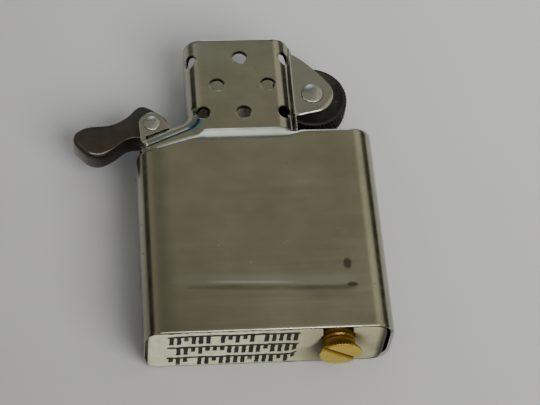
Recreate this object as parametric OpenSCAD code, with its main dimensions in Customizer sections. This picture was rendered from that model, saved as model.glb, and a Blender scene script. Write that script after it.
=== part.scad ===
// Inside unit of a windproof petrol lighter, lying on its back as it would on a table.
// X runs across the unit from the cam to the flint wheel, Y from the felt end to the
// chimney top, and Z up through the thickness. The origin is the centre of the tank's
// back face. All sizes are in millimetres.

/* [Tank] */
// Width of the tank across its two narrow sides
tank_w = 36.2; // [34:0.1:40]
// Height of the tank from the bottom rim to the deck
tank_h = 34; // [31:0.5:38]
// Thickness of the tank from back face to front face
tank_t = 10.8; // [10.4:0.1:12]
// Outside radius of the tank's upright corners
corner_r = 3.1; // [2.6:0.1:3.6]
// Thickness of the steel sheet of the tank and the chimney
sheet = 0.5; // [0.4:0.05:0.6]
// Distance from the cam side to where the top rim starts to fall
fall_run = 9.6; // [8:0.1:10.4]
// Width of the slot for the cam spring in the narrow side
side_slot_w = 4.6; // [4.4:0.1:5]
// Depth of that slot below the deck
side_slot_h = 6; // [4:0.1:8]

/* [Chimney] */
// Height of the chimney above the deck
chimney_h = 17.7; // [16.5:0.1:20]
// Distance from the cam side of the tank to the chimney
chimney_inset = 8.25; // [7.9:0.05:8.6]
// Width of the chimney up to the wheel ears
chimney_w = 16.9; // [16.3:0.1:17.5]
// How far the chimney stands back from the tank's faces
chimney_step = 0.9; // [0.7:0.05:1.2]
// Outside radius of the chimney's rounded edges
edge_r = 2.8; // [2.5:0.1:3]
// Outside radius of the bend from the chimney's face to the wheel ear
bend_out_r = 3; // [2.6:0.1:3.4]
// Angle at which the shoulder falls towards the cam side
shoulder_angle = 24; // [20:0.5:26]
// Height above the deck where the shoulder line meets the chimney
shoulder_rise = 3.75; // [3.5:0.05:4]
// Width of the shoulder's flat strip above the tank's rim at the cam side
strip_w = 0.2; // [0.15:0.05:0.4]
// Diameter of the air holes
hole_d = 2.2; // [1.8:0.1:2.4]
// Height of the lowest row of air holes above the deck
hole_rise = 4; // [3.6:0.1:4.6]
// Distance between the rows of air holes
hole_row_gap = 5.15; // [4.6:0.05:5.2]
// Depth of the chimney's skirt inside the tank
skirt_h = 4; // [3:0.1:6]

/* [Cam] */
// Thickness of the cam
cam_t = 3.8; // [3.4:0.1:4]
// Distance from the cam side of the tank to the cam pivot
cam_inset = 2.7; // [2.5:0.1:3]
// Height of the cam pivot above the deck
cam_rise = 3.45; // [3.3:0.05:3.7]
// Direction of the open cam, counted from the wheel side
cam_open_angle = 197; // [190:1:200]
// Diameter of the cam rivet's shank
cam_pin_d = 1.9; // [1.6:0.1:2.2]
// Diameter of the cam rivet's head
cam_head_d = 2.6; // [2.4:0.1:3]
// Radius of the cam ears round the rivet
cam_ear_r = 2; // [1.8:0.05:2.2]
// Thickness of the cam's leaf spring
leaf_t = 0.35; // [0.25:0.05:0.4]
// Width of the cam's leaf spring
leaf_w = 4; // [3.4:0.1:4.2]
// Height above the bottom rim where the leaf spring starts
leaf_foot = 8; // [6:0.5:9]
// Diameter of the rivet that holds the leaf spring
leaf_pin_d = 1.5; // [1.2:0.1:1.8]

/* [Flint wheel] */
// Diameter of the flint wheel over its teeth
wheel_d = 11.2; // [10.8:0.1:11.4]
// Width of the flint wheel
wheel_t = 3.7; // [3.4:0.1:4]
// Number of teeth round the flint wheel
wheel_teeth = 60; // [40:1:72]
// Depth of the flint wheel's teeth
tooth_h = 0.25; // [0.15:0.05:0.35]
// Distance from the wheel side of the tank to the wheel's axle
wheel_inset = 8.2; // [8:0.1:8.4]
// Height of the wheel axle above the deck
wheel_rise = 8.35; // [8.2:0.05:8.8]
// Radius of the wheel ears round the axle
wheel_ear_r = 3.3; // [3:0.1:3.5]
// Diameter of the wheel rivet's shank
wheel_pin_d = 2.2; // [1.8:0.1:2.4]
// Diameter of the wheel rivet's head
wheel_head_d = 3.5; // [3:0.1:4]

/* [Flint works] */
// Distance from the wheel side of the tank to the axis of flint and screw
flint_inset = 7.8; // [7.6:0.1:8.2]
// Outside diameter of the flint tube where it passes the deck
tube_d = 4.6; // [4.2:0.1:4.8]
// Bore of the flint tube round the flint
tube_bore = 2.75; // [2.6:0.05:3]
// Outside diameter of the tube's threaded socket
socket_d = 6; // [5.6:0.1:6.2]
// Length of the tube's threaded socket
socket_l = 9; // [8.2:0.1:12]
// Distance from the bottom rim up to the tube's lower end
tube_lift = 2.2; // [2.2:0.1:2.6]
// Distance from the flint wheel down to the tube's upper end
tube_drop = 1.2; // [0.8:0.1:1.6]
// Diameter of the flint
flint_d = 2.5; // [2.3:0.05:2.6]
// Length of the flint
flint_l = 5; // [3:0.5:6]
// Length of the plunger behind the flint
plunger_l = 3.2; // [2.4:0.1:4]
// Wire of the flint spring
wire_d = 0.4; // [0.3:0.05:0.4]
// Outside diameter of the flint spring
spring_d = 2.4; // [2.2:0.05:2.5]
// Number of turns of the flint spring
spring_turns = 15; // [10:1:16]
// Diameter over the screw's thread
screw_d = 4.6; // [4.4:0.1:4.7]
// Length of the screw's thread
screw_l = 7.25; // [6.5:0.05:7.6]
// Diameter of the screw's head
screw_head_d = 6.2; // [5.8:0.1:6.6]
// Thickness of the rim of the screw's head
screw_rim = 0.4; // [0.3:0.05:0.6]
// Length of the cone under the screw's head
screw_cone = 0.95; // [0.8:0.05:1.2]
// How far the open screw's head stands out of the bottom rim
screw_out = 1.7; // [1.6:0.1:2]
// Direction of the slot across the screw's head
slot_angle = 36; // [0:1:179]

/* [Felt and filling] */
// Thickness of the felt pad
felt_t = 2.8; // [2.4:0.1:3.2]
// Depth of the felt pad behind the bottom rim
felt_sink = 0.2; // [0.1:0.05:0.5]
// Distance from the screw's axis to the fold of the felt pad
felt_fold = 5.1; // [4.4:0.1:6]
// Diameter of the felt pad's hole round the screw
felt_hole_d = 7.2; // [6.8:0.1:8]
// Diameter of the wick
wick_d = 3.4; // [3:0.1:3.6]
// Height of the wick above the deck
wick_rise = 8; // [6:0.5:9]
// Distance from the chimney's cam side to the wick
wick_inset = 8.35; // [8:0.05:8.8]
// Diameter of the wick's wire core
core_d = 0.8; // [0.6:0.1:1]
// How far the wire core stands out of the wick
core_out = 0.5; // [0.3:0.1:1]

/* [Clearances] */
// Radial clearance of the turning fits
pin_gap = 0.04; // [0.02:0.01:0.08]
// Clearance of pieces that are riveted, soldered or pushed together
seat_gap = 0.02; // [0.01:0.01:0.03]
// Clearance on each side of the cam and the flint wheel
side_gap = 0.22; // [0.15:0.01:0.3]
// Clearance of the soft pieces
soft_gap = 0.3; // [0.2:0.05:0.4]
// Clearance at the lifting end of the felt pad
lift_gap = 0.5; // [0.4:0.05:0.6]
// Clearance between flint and flint wheel
spark_gap = 0.12; // [0.08:0.01:0.2]
// Clearance between the cam's hub and its leaf spring
leaf_gap = 0.25; // [0.15:0.05:0.3]

/* [Hidden] */
$fn = 64;

// A cut reaches this far past the face that it opens
past = 1;
deck_y = tank_h / 2;
foot_y = -tank_h / 2;
mid_z = tank_t / 2;
left_x = -tank_w / 2;
right_x = tank_w / 2;
fall_x = left_x + fall_run;
side_slot_r = corner_r + past;

// Chimney: front and back faces, cam-side wall and shoulder line
front_z = tank_t - chimney_step;
back_z = chimney_step;
chimney_x = left_x + chimney_inset;
ear_x = chimney_x + chimney_w;
chimney_top = deck_y + chimney_h;
nook_turn = 90 - shoulder_angle;
shoulder_end_x = left_x + 1.1;
shoulder_l = (chimney_x + sheet - shoulder_end_x) / cos(shoulder_angle);
edge_drop = edge_r / cos(shoulder_angle);
rim_end_y = shoulder_y(shoulder_end_x) - edge_drop - strip_w;
rim_slope = (deck_y - rim_end_y) / (fall_x - shoulder_end_x);
panel_x = chimney_x + edge_r;
joggle_h = 0.5;
skirt_z = tank_t - sheet - seat_gap;
skirt_margin = corner_r + 0.4;
floor_overhang = 1.5;

// Wheel ears: the S-bend that carries the chimney's face in to the ear
wheel_x = right_x - wheel_inset;
wheel_y = deck_y + wheel_rise;
ear_t = sheet + 0.1;
wheel_ear_z = mid_z + wheel_t / 2 + side_gap + ear_t;
bend_in_r = 0.6;
bend_offset = front_z - wheel_ear_z;
bend_run = sqrt(bend_offset * (2 * (bend_out_r + bend_in_r) - bend_offset));
bend_angle = asin(bend_run / (bend_out_r + bend_in_r));
bend_x = ear_x - bend_run;
ear_foot_rise = 4.35;
top_corner_r = 1.3;
ARC_STEPS = 8;

// Air holes: offsets from the hole column along the unrolled sheet, lowest row first
hole_column_x = chimney_x + 8.6;
HOLE_ROWS = [[-6.35, 0, 6.4], [-3.85, 4.1], [-8.6, 0, 7.2]];

// Cam: pivot and outline round it, with the paddle along the first coordinate
cam_x = left_x + cam_inset;
cam_y = deck_y + cam_rise;
cam_ear_z = mid_z + cam_t / 2 + side_gap + ear_t;
cam_ear_tip_x = cam_x + 2.7;
cam_ear_root_x = cam_x - 0.2;
hub_r = 2.6;
CAM_POINTS = [[12.15, -1.2], [11.65, 0.4], [10.75, 1.9], [9.1, 2.7], [6.8, 2], [4.4, 1.1], [2.6, 1.35],
    [1.2, 2.2], [-0.6, 2.5], [-2.2, 1.4], [-2.5, -0.5], [-1.7, -2], [-0.8, -3.2], [0.2, -4], [1.3, -3.85],
    [3.2, -2.8], [5.8, -2.3], [9.2, -3], [11.2, -2.65], [11.9, -2]];
CURVE_STEPS = 5;
dome_share = 0.22;

// Leaf spring: along the side wall, then in under the cam's hub
leaf_x = left_x + sheet + seat_gap;
leaf_bow_y = deck_y - 3;
leaf_tip_y = cam_y - hub_r - leaf_gap;
leaf_tip_x = cam_x - leaf_t;
leaf_pin_y = foot_y + leaf_foot + 3;
leaf_head_d = leaf_pin_d + 1.1;
leaf_head_t = 0.4;

// Flint works on one axis below the flint wheel
flint_x = right_x - flint_inset;
wheel_low_y = wheel_y - wheel_d / 2;
tube_low_y = foot_y + tube_lift;
tube_top_y = wheel_low_y - tube_drop;
flint_top_y = wheel_low_y - spark_gap;
flint_low_y = flint_top_y - flint_l;
plunger_top_y = flint_low_y - seat_gap;
plunger_low_y = plunger_top_y - plunger_l;
plunger_d = flint_d - 0.1;
screw_face_y = foot_y - screw_out;
screw_neck_y = screw_face_y + screw_rim + screw_cone;
screw_top_y = screw_neck_y + screw_l;
spigot_d = spring_d - 2 * wire_d - 0.2;
spigot_l = 3;
screw_slot_w = 1;
screw_slot_h = 0.45;
spring_low_y = screw_top_y + seat_gap;
spring_high_y = plunger_low_y - seat_gap;
RINGS_PER_TURN = 8;
WIRE_SIDES = 6;
MIN_COIL_GAP = 0.4;

// Felt, wick and packing
felt_low_y = foot_y + felt_sink;
felt_top_y = felt_low_y + felt_t;
fold_x = flint_x - felt_fold;
fold_gap = 0.1;
wick_x = chimney_x + wick_inset;
wick_low_y = foot_y + 6;
wick_top_y = deck_y + wick_rise;
wick_hole_d = wick_d + 2 * soft_gap;
packing_low_y = felt_top_y + soft_gap;
packing_top_y = deck_y - sheet - soft_gap;
packing_r = min(mid_z - sheet - soft_gap, (packing_top_y - packing_low_y - 2 * soft_gap) / 6);
packing_left_x = leaf_x + leaf_t + leaf_head_t + soft_gap;
packing_right_x = wick_x - wick_d / 2 - soft_gap;
side_packing_left_x = wick_x + wick_d / 2 + soft_gap;
side_packing_right_x = flint_x - socket_d / 2 - soft_gap;
side_packing_r = (side_packing_right_x - side_packing_left_x) / 2;
side_packing_l = (packing_top_y - packing_low_y - soft_gap) / 2;

STEEL = [0.62, 0.61, 0.56];
BRIGHT_STEEL = [0.72, 0.73, 0.72];
DARK_STEEL = [0.2, 0.19, 0.18];
CAM_STEEL = [0.27, 0.23, 0.18];
BRASS = [0.78, 0.6, 0.25];
COPPER = [0.62, 0.36, 0.22];
FELT = [0.88, 0.87, 0.8];
COTTON = [0.9, 0.88, 0.82];

// Height of the tank's top rim, which falls towards the cam side
function rim_y(x) = deck_y - max(0, fall_x - x) * rim_slope;

// Height of the outer shoulder line, which rises to the chimney
function shoulder_y(x) = deck_y + shoulder_rise - (chimney_x - x) * tan(shoulder_angle);

// Point where a line from p touches the circle of radius r round c, on the side given
function touch(p, c, r, side) =
    let(d = p - c, a = atan2(d[1], d[0]) + side * acos(r / norm(d)))
    c + r * [cos(a), sin(a)];

// Closed smooth curve through a list of points, as cubic pieces with shared tangents
function smooth_loop(p) =
    let(n = len(p))
    [for (i = [0:n - 1], s = [0:CURVE_STEPS - 1])
        let(a = p[(i + n - 1) % n], b = p[i], c = p[(i + 1) % n], d = p[(i + 2) % n],
            t = s / CURVE_STEPS)
        (2 * b + (c - a) * t + (2 * a - 5 * b + 4 * c - d) * t * t
            + (3 * b - a - 3 * c + d) * t * t * t) / 2];

// Points along an arc round c, from angle a to angle b
function arc(c, r, a, b) =
    [for (i = [0:ARC_STEPS]) let(t = a + (b - a) * i / ARC_STEPS) c + r * [cos(t), sin(t)]];

function reversed(p) = [for (i = [len(p) - 1:-1:0]) p[i]];

// Section of a rounded edge at depth t in the sheet: depth from the edge, and height
function edge_path(t) = concat(
    [[edge_r + sheet, front_z - t]],
    arc([edge_r, front_z - edge_r], edge_r - t, 90, 180),
    arc([edge_r, back_z + edge_r], edge_r - t, 180, 270),
    [[edge_r + sheet, back_z + t]]);

// Plan of the windscreen at depth t in the sheet, from the front ear to the back ear
function screen_path(t) = concat(
    arc([ear_x, wheel_ear_z + bend_in_r], bend_in_r + t, 270, 270 - bend_angle),
    arc([bend_x, front_z - bend_out_r], bend_out_r - t, 90 - bend_angle, 90),
    arc([panel_x, front_z - edge_r], edge_r - t, 90, 180),
    arc([panel_x, back_z + edge_r], edge_r - t, 180, 270),
    arc([bend_x, back_z + bend_out_r], bend_out_r - t, 270, 270 + bend_angle),
    arc([ear_x, tank_t - wheel_ear_z - bend_in_r], bend_in_r + t, 90 + bend_angle, 90));

// Extrudes a plan drawn in X and Z along Y, from height y by h
module upright(y, h) {
    translate([0, y + h, 0]) rotate([90, 0, 0]) linear_extrude(h) children();
}

// Extrudes an outline drawn in X and Y along Z, from height z by t
module slab(z, t) {
    translate([0, 0, z]) linear_extrude(t) children();
}

// Same piece on the front and on the back of the unit
module both_faces() {
    children();
    translate([0, 0, tank_t]) mirror([0, 0, 1]) children();
}

// Turns a profile, drawn as radius and height, about an axis along Y
module turned(x) {
    translate([x, 0, mid_z]) rotate([-90, 0, 0]) rotate_extrude() children();
}

// Plan of the tank, drawn inwards by inset
module tank_plan(inset) {
    r = corner_r - inset;
    w = tank_w - 2 * inset;
    t = tank_t - 2 * inset;
    translate([-w / 2 + r, inset]) square([w - 2 * r, t]);
    translate([-w / 2, inset + r]) square([w, t - 2 * r]);
    for (x = [-w / 2 + r, w / 2 - r], z = [inset + r, inset + t - r])
        translate([x, z]) circle(r);
}

// Half-round head with the given base and a height in proportion to it
module dome(d) {
    h = d * dome_share;
    r = (d * d / 4 + h * h) / (2 * h);
    rotate_extrude() intersection() {
        translate([0, h - r]) circle(r);
        square([d, h]);
    }
}

// Rivet along Z through the two ears, with a domed head on each
module ear_rivet(x, y, pin_d, head_d, ear_z) {
    translate([x, y, tank_t - ear_z]) cylinder(d = pin_d, h = 2 * ear_z - tank_t);
    both_faces() translate([x, y, ear_z]) dome(head_d);
}

module tank_shell() {
    color(STEEL) difference() {
        upright(foot_y, tank_h) difference() {
            tank_plan(0);
            tank_plan(sheet);
        }
        slab(-past, tank_t + 2 * past) polygon([
            [fall_x, deck_y],
            [left_x - past, rim_y(left_x - past)],
            [left_x - past, deck_y + past],
            [fall_x, deck_y + past]]);
        translate([left_x - past, deck_y - side_slot_h, mid_z - side_slot_w / 2])
            cube([side_slot_r, side_slot_h + past, side_slot_w]);
        translate([left_x - past, leaf_pin_y, mid_z]) rotate([0, 90, 0])
            cylinder(d = leaf_pin_d + 2 * seat_gap, h = 2 * past + sheet);
    }
}

// Section of a rounded edge of the bent sheet: depth from its outer face, and height
module edge_section() {
    polygon(concat(edge_path(0), reversed(edge_path(sheet))));
}

// Plan of the windscreen: round its cam side, along its faces and in to the ears
module windscreen_plan() {
    polygon(concat(screen_path(0), reversed(screen_path(sheet))));
}

// Sloping shoulder with rounded edges, closed at the cam side, up to the chimney's wall
module shoulder() {
    translate([chimney_x + sheet, shoulder_y(chimney_x + sheet), 0]) rotate([0, 0, -nook_turn]) {
        upright(-shoulder_l, shoulder_l) edge_section();
        upright(-shoulder_l, sheet) polygon(edge_path(0));
    }
}

// Outline of the flat face below the shoulder's rounded edge
module shoulder_face() {
    low = joggle_h / 2;
    skirt_x = left_x + skirt_margin + sheet;
    polygon([
        [panel_x + sheet, shoulder_y(panel_x + sheet) - edge_drop],
        [panel_x + sheet, deck_y - low],
        [fall_x, deck_y - low],
        [skirt_x, rim_y(skirt_x) - low],
        [skirt_x, rim_y(skirt_x) + seat_gap],
        [shoulder_end_x, rim_y(shoulder_end_x) + seat_gap],
        [shoulder_end_x, shoulder_y(shoulder_end_x) - edge_drop]]);
}

// Skirt inside the tank, or the joggle that joins it to the chimney's face
module rim_band(x_right, down, up) {
    x_left = left_x + skirt_margin;
    polygon([
        [x_left, rim_y(x_left) + up],
        [fall_x, deck_y + up],
        [x_right, deck_y + up],
        [x_right, deck_y - down],
        [fall_x, deck_y - down],
        [x_left, rim_y(x_left) - down]]);
}

// Outline that trims the chimney's upper corner above the wheel ear
module top_corner_cut() {
    x = ear_x - top_corner_r;
    y = chimney_top - top_corner_r;
    difference() {
        translate([x, y]) square([top_corner_r + past, top_corner_r + past]);
        translate([x, y]) circle(top_corner_r);
    }
}

// Wheel ear: drop-shaped plate from the S-bend to round the axle
module wheel_ear_outline() {
    axle = [wheel_x, wheel_y];
    foot = [ear_x, deck_y + ear_foot_rise];
    top = [ear_x, chimney_top - top_corner_r];
    polygon([foot, touch(foot, axle, wheel_ear_r, 1), axle, touch(top, axle, wheel_ear_r, -1), top]);
    translate(axle) circle(wheel_ear_r);
}

// Cam ear: round above the rivet, joined to the shoulder at the cam side, with a free tip over it
module cam_ear_outline() {
    pivot = [cam_x, cam_y];
    side = [cam_x - cam_ear_r, cam_y];
    root = [cam_ear_root_x, shoulder_y(cam_ear_root_x)];
    foot = [cam_ear_tip_x, shoulder_y(cam_ear_tip_x)];
    tip = foot + [0, 0.4];
    difference() {
        union() {
            polygon([side, [side[0], shoulder_y(side[0]) - sheet], root - [0, sheet], foot,
                tip, touch(tip, pivot, cam_ear_r, 1)]);
            translate(pivot) circle(cam_ear_r);
        }
        polygon([root + [0, 0.3], root - [0, past], foot + [past, 0], foot + [past, 0.5], foot + [0, 0.1]]);
    }
}

// Air hole square to the sheet, at a place along the unrolled front face
module air_hole(s, y) {
    left_s = panel_x - hole_column_x;
    right_s = bend_x - hole_column_x;
    over = s < left_s ? s - left_s : max(0, s - right_s);
    r = over < 0 ? edge_r : bend_out_r;
    translate([hole_column_x + s - over, y, front_z - r])
        rotate([0, over / r * 180 / PI, 0]) cylinder(d = hole_d, h = r + past);
}

module chimney() {
    floor_z = tank_t - skirt_z + sheet;
    floor_x = chimney_x - floor_overhang;
    floor_right_x = right_x - sheet - seat_gap - corner_r;
    color(STEEL) difference() {
        union() {
            difference() {
                upright(deck_y - joggle_h, chimney_h + joggle_h) windscreen_plan();
                slab(-past, tank_t + 2 * past) top_corner_cut();
            }
            shoulder();
            both_faces() {
                slab(front_z - sheet, sheet) shoulder_face();
                slab(front_z - sheet / 2, skirt_z - front_z + sheet / 2) rim_band(bend_x, sheet, joggle_h);
                slab(skirt_z - sheet, sheet) rim_band(right_x - skirt_margin, skirt_h, 0);
                slab(wheel_ear_z - ear_t, ear_t) wheel_ear_outline();
                slab(cam_ear_z - ear_t, ear_t) cam_ear_outline();
            }
            translate([floor_x, deck_y - sheet, floor_z])
                cube([floor_right_x - floor_x, sheet, tank_t - 2 * floor_z]);
            upright(deck_y - sheet, sheet) intersection() {
                tank_plan(sheet + seat_gap);
                translate([floor_right_x - past, 0]) square([right_x - floor_right_x + past, tank_t]);
            }
        }
        both_faces() for (i = [0:len(HOLE_ROWS) - 1], s = HOLE_ROWS[i])
            air_hole(s, deck_y + hole_rise + i * hole_row_gap);
        translate([wick_x, deck_y + past, mid_z]) rotate([90, 0, 0])
            cylinder(d = wick_hole_d, h = sheet + 2 * past);
        translate([flint_x, deck_y + past, mid_z]) rotate([90, 0, 0])
            cylinder(d = tube_d + 2 * seat_gap, h = sheet + 2 * past);
        translate([wheel_x, wheel_y, -past])
            cylinder(d = wheel_pin_d + 2 * seat_gap, h = tank_t + 2 * past);
        translate([cam_x, cam_y, -past])
            cylinder(d = cam_pin_d + 2 * seat_gap, h = tank_t + 2 * past);
        translate([left_x - past, deck_y - skirt_h, mid_z - cam_t / 2 - side_gap])
            cube([cam_inset + past + hub_r + 2 * leaf_gap, cam_rise + skirt_h, cam_t + 2 * side_gap]);
    }
}

module cam() {
    color(CAM_STEEL) translate([cam_x, cam_y, mid_z - cam_t / 2]) difference() {
        rotate([0, 0, cam_open_angle]) linear_extrude(cam_t) polygon(smooth_loop(CAM_POINTS));
        translate([0, 0, -past]) cylinder(d = cam_pin_d + 2 * pin_gap, h = cam_t + 2 * past);
    }
}

module cam_rivet() {
    color(BRIGHT_STEEL) ear_rivet(cam_x, cam_y, cam_pin_d, cam_head_d, cam_ear_z);
}

module cam_spring() {
    foot = foot_y + leaf_foot;
    color(DARK_STEEL) difference() {
        slab(mid_z - leaf_w / 2, leaf_w) polygon([
            [leaf_x, foot],
            [leaf_x + leaf_t, foot],
            [leaf_x + leaf_t, leaf_bow_y],
            [leaf_tip_x + leaf_t, leaf_tip_y],
            [leaf_tip_x, leaf_tip_y],
            [leaf_x, leaf_bow_y]]);
        translate([leaf_x - past, leaf_pin_y, mid_z]) rotate([0, 90, 0])
            cylinder(d = leaf_pin_d + 2 * seat_gap, h = leaf_t + 2 * past);
    }
}

module cam_spring_rivet() {
    color(BRIGHT_STEEL) translate([left_x, leaf_pin_y, mid_z]) rotate([0, 90, 0]) {
        cylinder(d = leaf_pin_d, h = leaf_x + leaf_t + seat_gap - left_x);
        translate([0, 0, leaf_x + leaf_t + seat_gap - left_x])
            cylinder(d = leaf_head_d, h = leaf_head_t);
    }
}

module flint_wheel() {
    step = 180 / wheel_teeth;
    color(DARK_STEEL) translate([wheel_x, wheel_y, mid_z - wheel_t / 2]) difference() {
        linear_extrude(wheel_t) polygon([for (i = [0:2 * wheel_teeth - 1])
            (wheel_d / 2 - (i % 2) * tooth_h) * [cos(i * step), sin(i * step)]]);
        translate([0, 0, -past]) cylinder(d = wheel_pin_d + 2 * pin_gap, h = wheel_t + 2 * past);
    }
}

module wheel_rivet() {
    color(BRIGHT_STEEL) ear_rivet(wheel_x, wheel_y, wheel_pin_d, wheel_head_d, wheel_ear_z);
}

module flint_tube() {
    socket_top = tube_low_y + socket_l;
    socket_bore = screw_d + 2 * pin_gap;
    color(BRASS) turned(flint_x) difference() {
        union() {
            translate([0, tube_low_y]) square([socket_d / 2, socket_l + sheet]);
            translate([0, tube_low_y]) square([tube_d / 2, tube_top_y - tube_low_y]);
        }
        translate([0, tube_low_y - past]) square([socket_bore / 2, socket_l + past]);
        translate([0, socket_top - past]) square([tube_bore / 2, tube_top_y - socket_top + 2 * past]);
    }
}

module flint() {
    color(COPPER) turned(flint_x) translate([0, flint_low_y]) square([flint_d / 2, flint_l]);
}

module flint_plunger() {
    color(BRASS) turned(flint_x) translate([0, plunger_low_y]) square([plunger_d / 2, plunger_l]);
}

// Wire of the flint spring as one tube along a helix, with straight ends along Y
spring_r = (spring_d - wire_d) / 2;
coil_low_y = spring_low_y + wire_d * 1.5;
coil_high_y = spring_high_y - wire_d * 1.5;
coil_pitch = (coil_high_y - coil_low_y) / spring_turns;
COIL_N = spring_turns * RINGS_PER_TURN;
COIL_PATH = [for (i = [0:COIL_N])
    let(a = i * 360 / RINGS_PER_TURN)
    [spring_r * cos(a), coil_low_y + (coil_high_y - coil_low_y) * i / COIL_N, spring_r * sin(a)]];

function ring(c, across, up) =
    [for (k = [0:WIRE_SIDES - 1])
        let(a = k * 360 / WIRE_SIDES)
        c + wire_d / 2 * (cos(a) * across + sin(a) * up)];

// Rings of the coil: across points away from the axis, up leans with the pitch
function coil_ring(i) =
    let(a = i * 360 / RINGS_PER_TURN,
        lean = atan(coil_pitch / (2 * PI * spring_r)),
        out = [cos(a), 0, sin(a)],
        up = [sin(lean) * sin(a), cos(lean), -sin(lean) * cos(a)])
    ring(COIL_PATH[i], out, up);

// Rings of the straight ends, square to the axis
function end_ring(i, y) =
    let(a = i * 360 / RINGS_PER_TURN, out = [cos(a), 0, sin(a)], side = [sin(a), 0, -cos(a)])
    ring([spring_r * cos(a), y, spring_r * sin(a)], out, side);

spring_rings = concat(
    [end_ring(0, spring_low_y), end_ring(0, spring_low_y + wire_d)],
    [for (i = [1:COIL_N - 1]) coil_ring(i)],
    [end_ring(COIL_N, spring_high_y - wire_d), end_ring(COIL_N, spring_high_y)]);

// Least gap between neighbouring turns of the spring, measured on its path
function turn_gap(i) = norm(COIL_PATH[i + RINGS_PER_TURN] - COIL_PATH[i]) - wire_d;
coil_gap = min([for (i = [0:COIL_N - RINGS_PER_TURN]) turn_gap(i)]);

module flint_spring() {
    n = len(spring_rings);
    m = WIRE_SIDES;
    points = [for (r = spring_rings, p = r) p];
    walls = [for (i = [0:n - 2], k = [0:m - 1])
        let(a = i * m + k, b = i * m + (k + 1) % m)
        each [[a, a + m, b], [b, a + m, b + m]]];
    low_cap = [for (k = [1:m - 2]) [0, k, k + 1]];
    high_cap = [for (k = [1:m - 2]) [0, k + 1, k] + (n - 1) * m * [1, 1, 1]];
    echo(least_gap_between_turns = coil_gap, wide_enough = coil_gap > MIN_COIL_GAP);
    color(BRIGHT_STEEL) translate([flint_x, 0, mid_z])
        polyhedron(points, concat(walls, low_cap, high_cap));
}

module flint_screw() {
    color(BRASS) difference() {
        turned(flint_x) polygon([
            [0, screw_face_y],
            [screw_head_d / 2, screw_face_y],
            [screw_head_d / 2, screw_face_y + screw_rim],
            [screw_d / 2, screw_neck_y],
            [screw_d / 2, screw_top_y],
            [spigot_d / 2, screw_top_y],
            [spigot_d / 2, screw_top_y + spigot_l],
            [0, screw_top_y + spigot_l]]);
        translate([flint_x, screw_face_y, mid_z]) rotate([0, slot_angle, 0])
            translate([-screw_head_d, -past, -screw_slot_w / 2])
                cube([2 * screw_head_d, past + screw_slot_h, screw_slot_w]);
    }
}

// Felt pad between two X places, clear of the tank's wall
module felt_pad(x_low, x_high) {
    upright(felt_low_y, felt_t) intersection() {
        tank_plan(sheet + soft_gap);
        translate([x_low, 0]) square([x_high - x_low, tank_t]);
    }
}

module felt_base() {
    color(FELT) difference() {
        felt_pad(fold_x, right_x);
        translate([flint_x, felt_low_y - past, mid_z]) rotate([-90, 0, 0])
            cylinder(d = felt_hole_d, h = felt_t + 2 * past);
    }
}

module felt_flap() {
    color(FELT) felt_pad(left_x + sheet + lift_gap, fold_x - fold_gap);
}

module wick() {
    color(COTTON) turned(wick_x) translate([core_d / 2 + pin_gap, wick_low_y])
        square([(wick_d - core_d) / 2 - pin_gap, wick_top_y - wick_low_y]);
}

module wick_core() {
    color(COPPER) turned(wick_x) translate([0, wick_low_y])
        square([core_d / 2, wick_top_y + core_out - wick_low_y]);
}

// Bolster of cotton with rounded ends: radius and length along its axis
module bolster(r, l) {
    rotate_extrude() intersection() {
        union() {
            translate([0, r]) square([r, l - 2 * r]);
            for (y = [r, l - r]) translate([0, y]) circle(r);
        }
        square([r, l]);
    }
}

// Cotton lying across the tank between leaf spring and wick, counted from the felt
module cross_packing(i) {
    y = packing_low_y + packing_r + i * (2 * packing_r + soft_gap);
    color(COTTON) translate([packing_left_x, y, mid_z]) rotate([0, 90, 0])
        bolster(packing_r, packing_right_x - packing_left_x);
}

// Cotton standing between wick and flint tube, counted from the felt
module side_packing(i) {
    y = packing_low_y + i * (side_packing_l + soft_gap);
    color(COTTON) translate([side_packing_left_x + side_packing_r, y, mid_z]) rotate([-90, 0, 0])
        bolster(side_packing_r, side_packing_l);
}

tank_shell();
chimney();
cam();
cam_rivet();
cam_spring();
cam_spring_rivet();
flint_wheel();
wheel_rivet();
flint_tube();
flint();
flint_plunger();
flint_spring();
flint_screw();
felt_base();
felt_flap();
wick();
wick_core();
cross_packing(0);  // packing_1
cross_packing(1);  // packing_2
cross_packing(2);  // packing_3
side_packing(0);  // packing_4
side_packing(1);  // packing_5
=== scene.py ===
"""Looks of a lighter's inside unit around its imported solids.

Sheet-steel tank and chimney, dark cam, black flint wheel, brass screw, felt and cotton. Shapes are worked
out in millimetres in the part's own frame: X from cam to wheel, Y from felt to chimney top, Z up from the
table.
"""

import bmesh
import bpy
import numpy as np
from mathutils import Matrix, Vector
from mathutils.geometry import delaunay_2d_cdt


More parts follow.
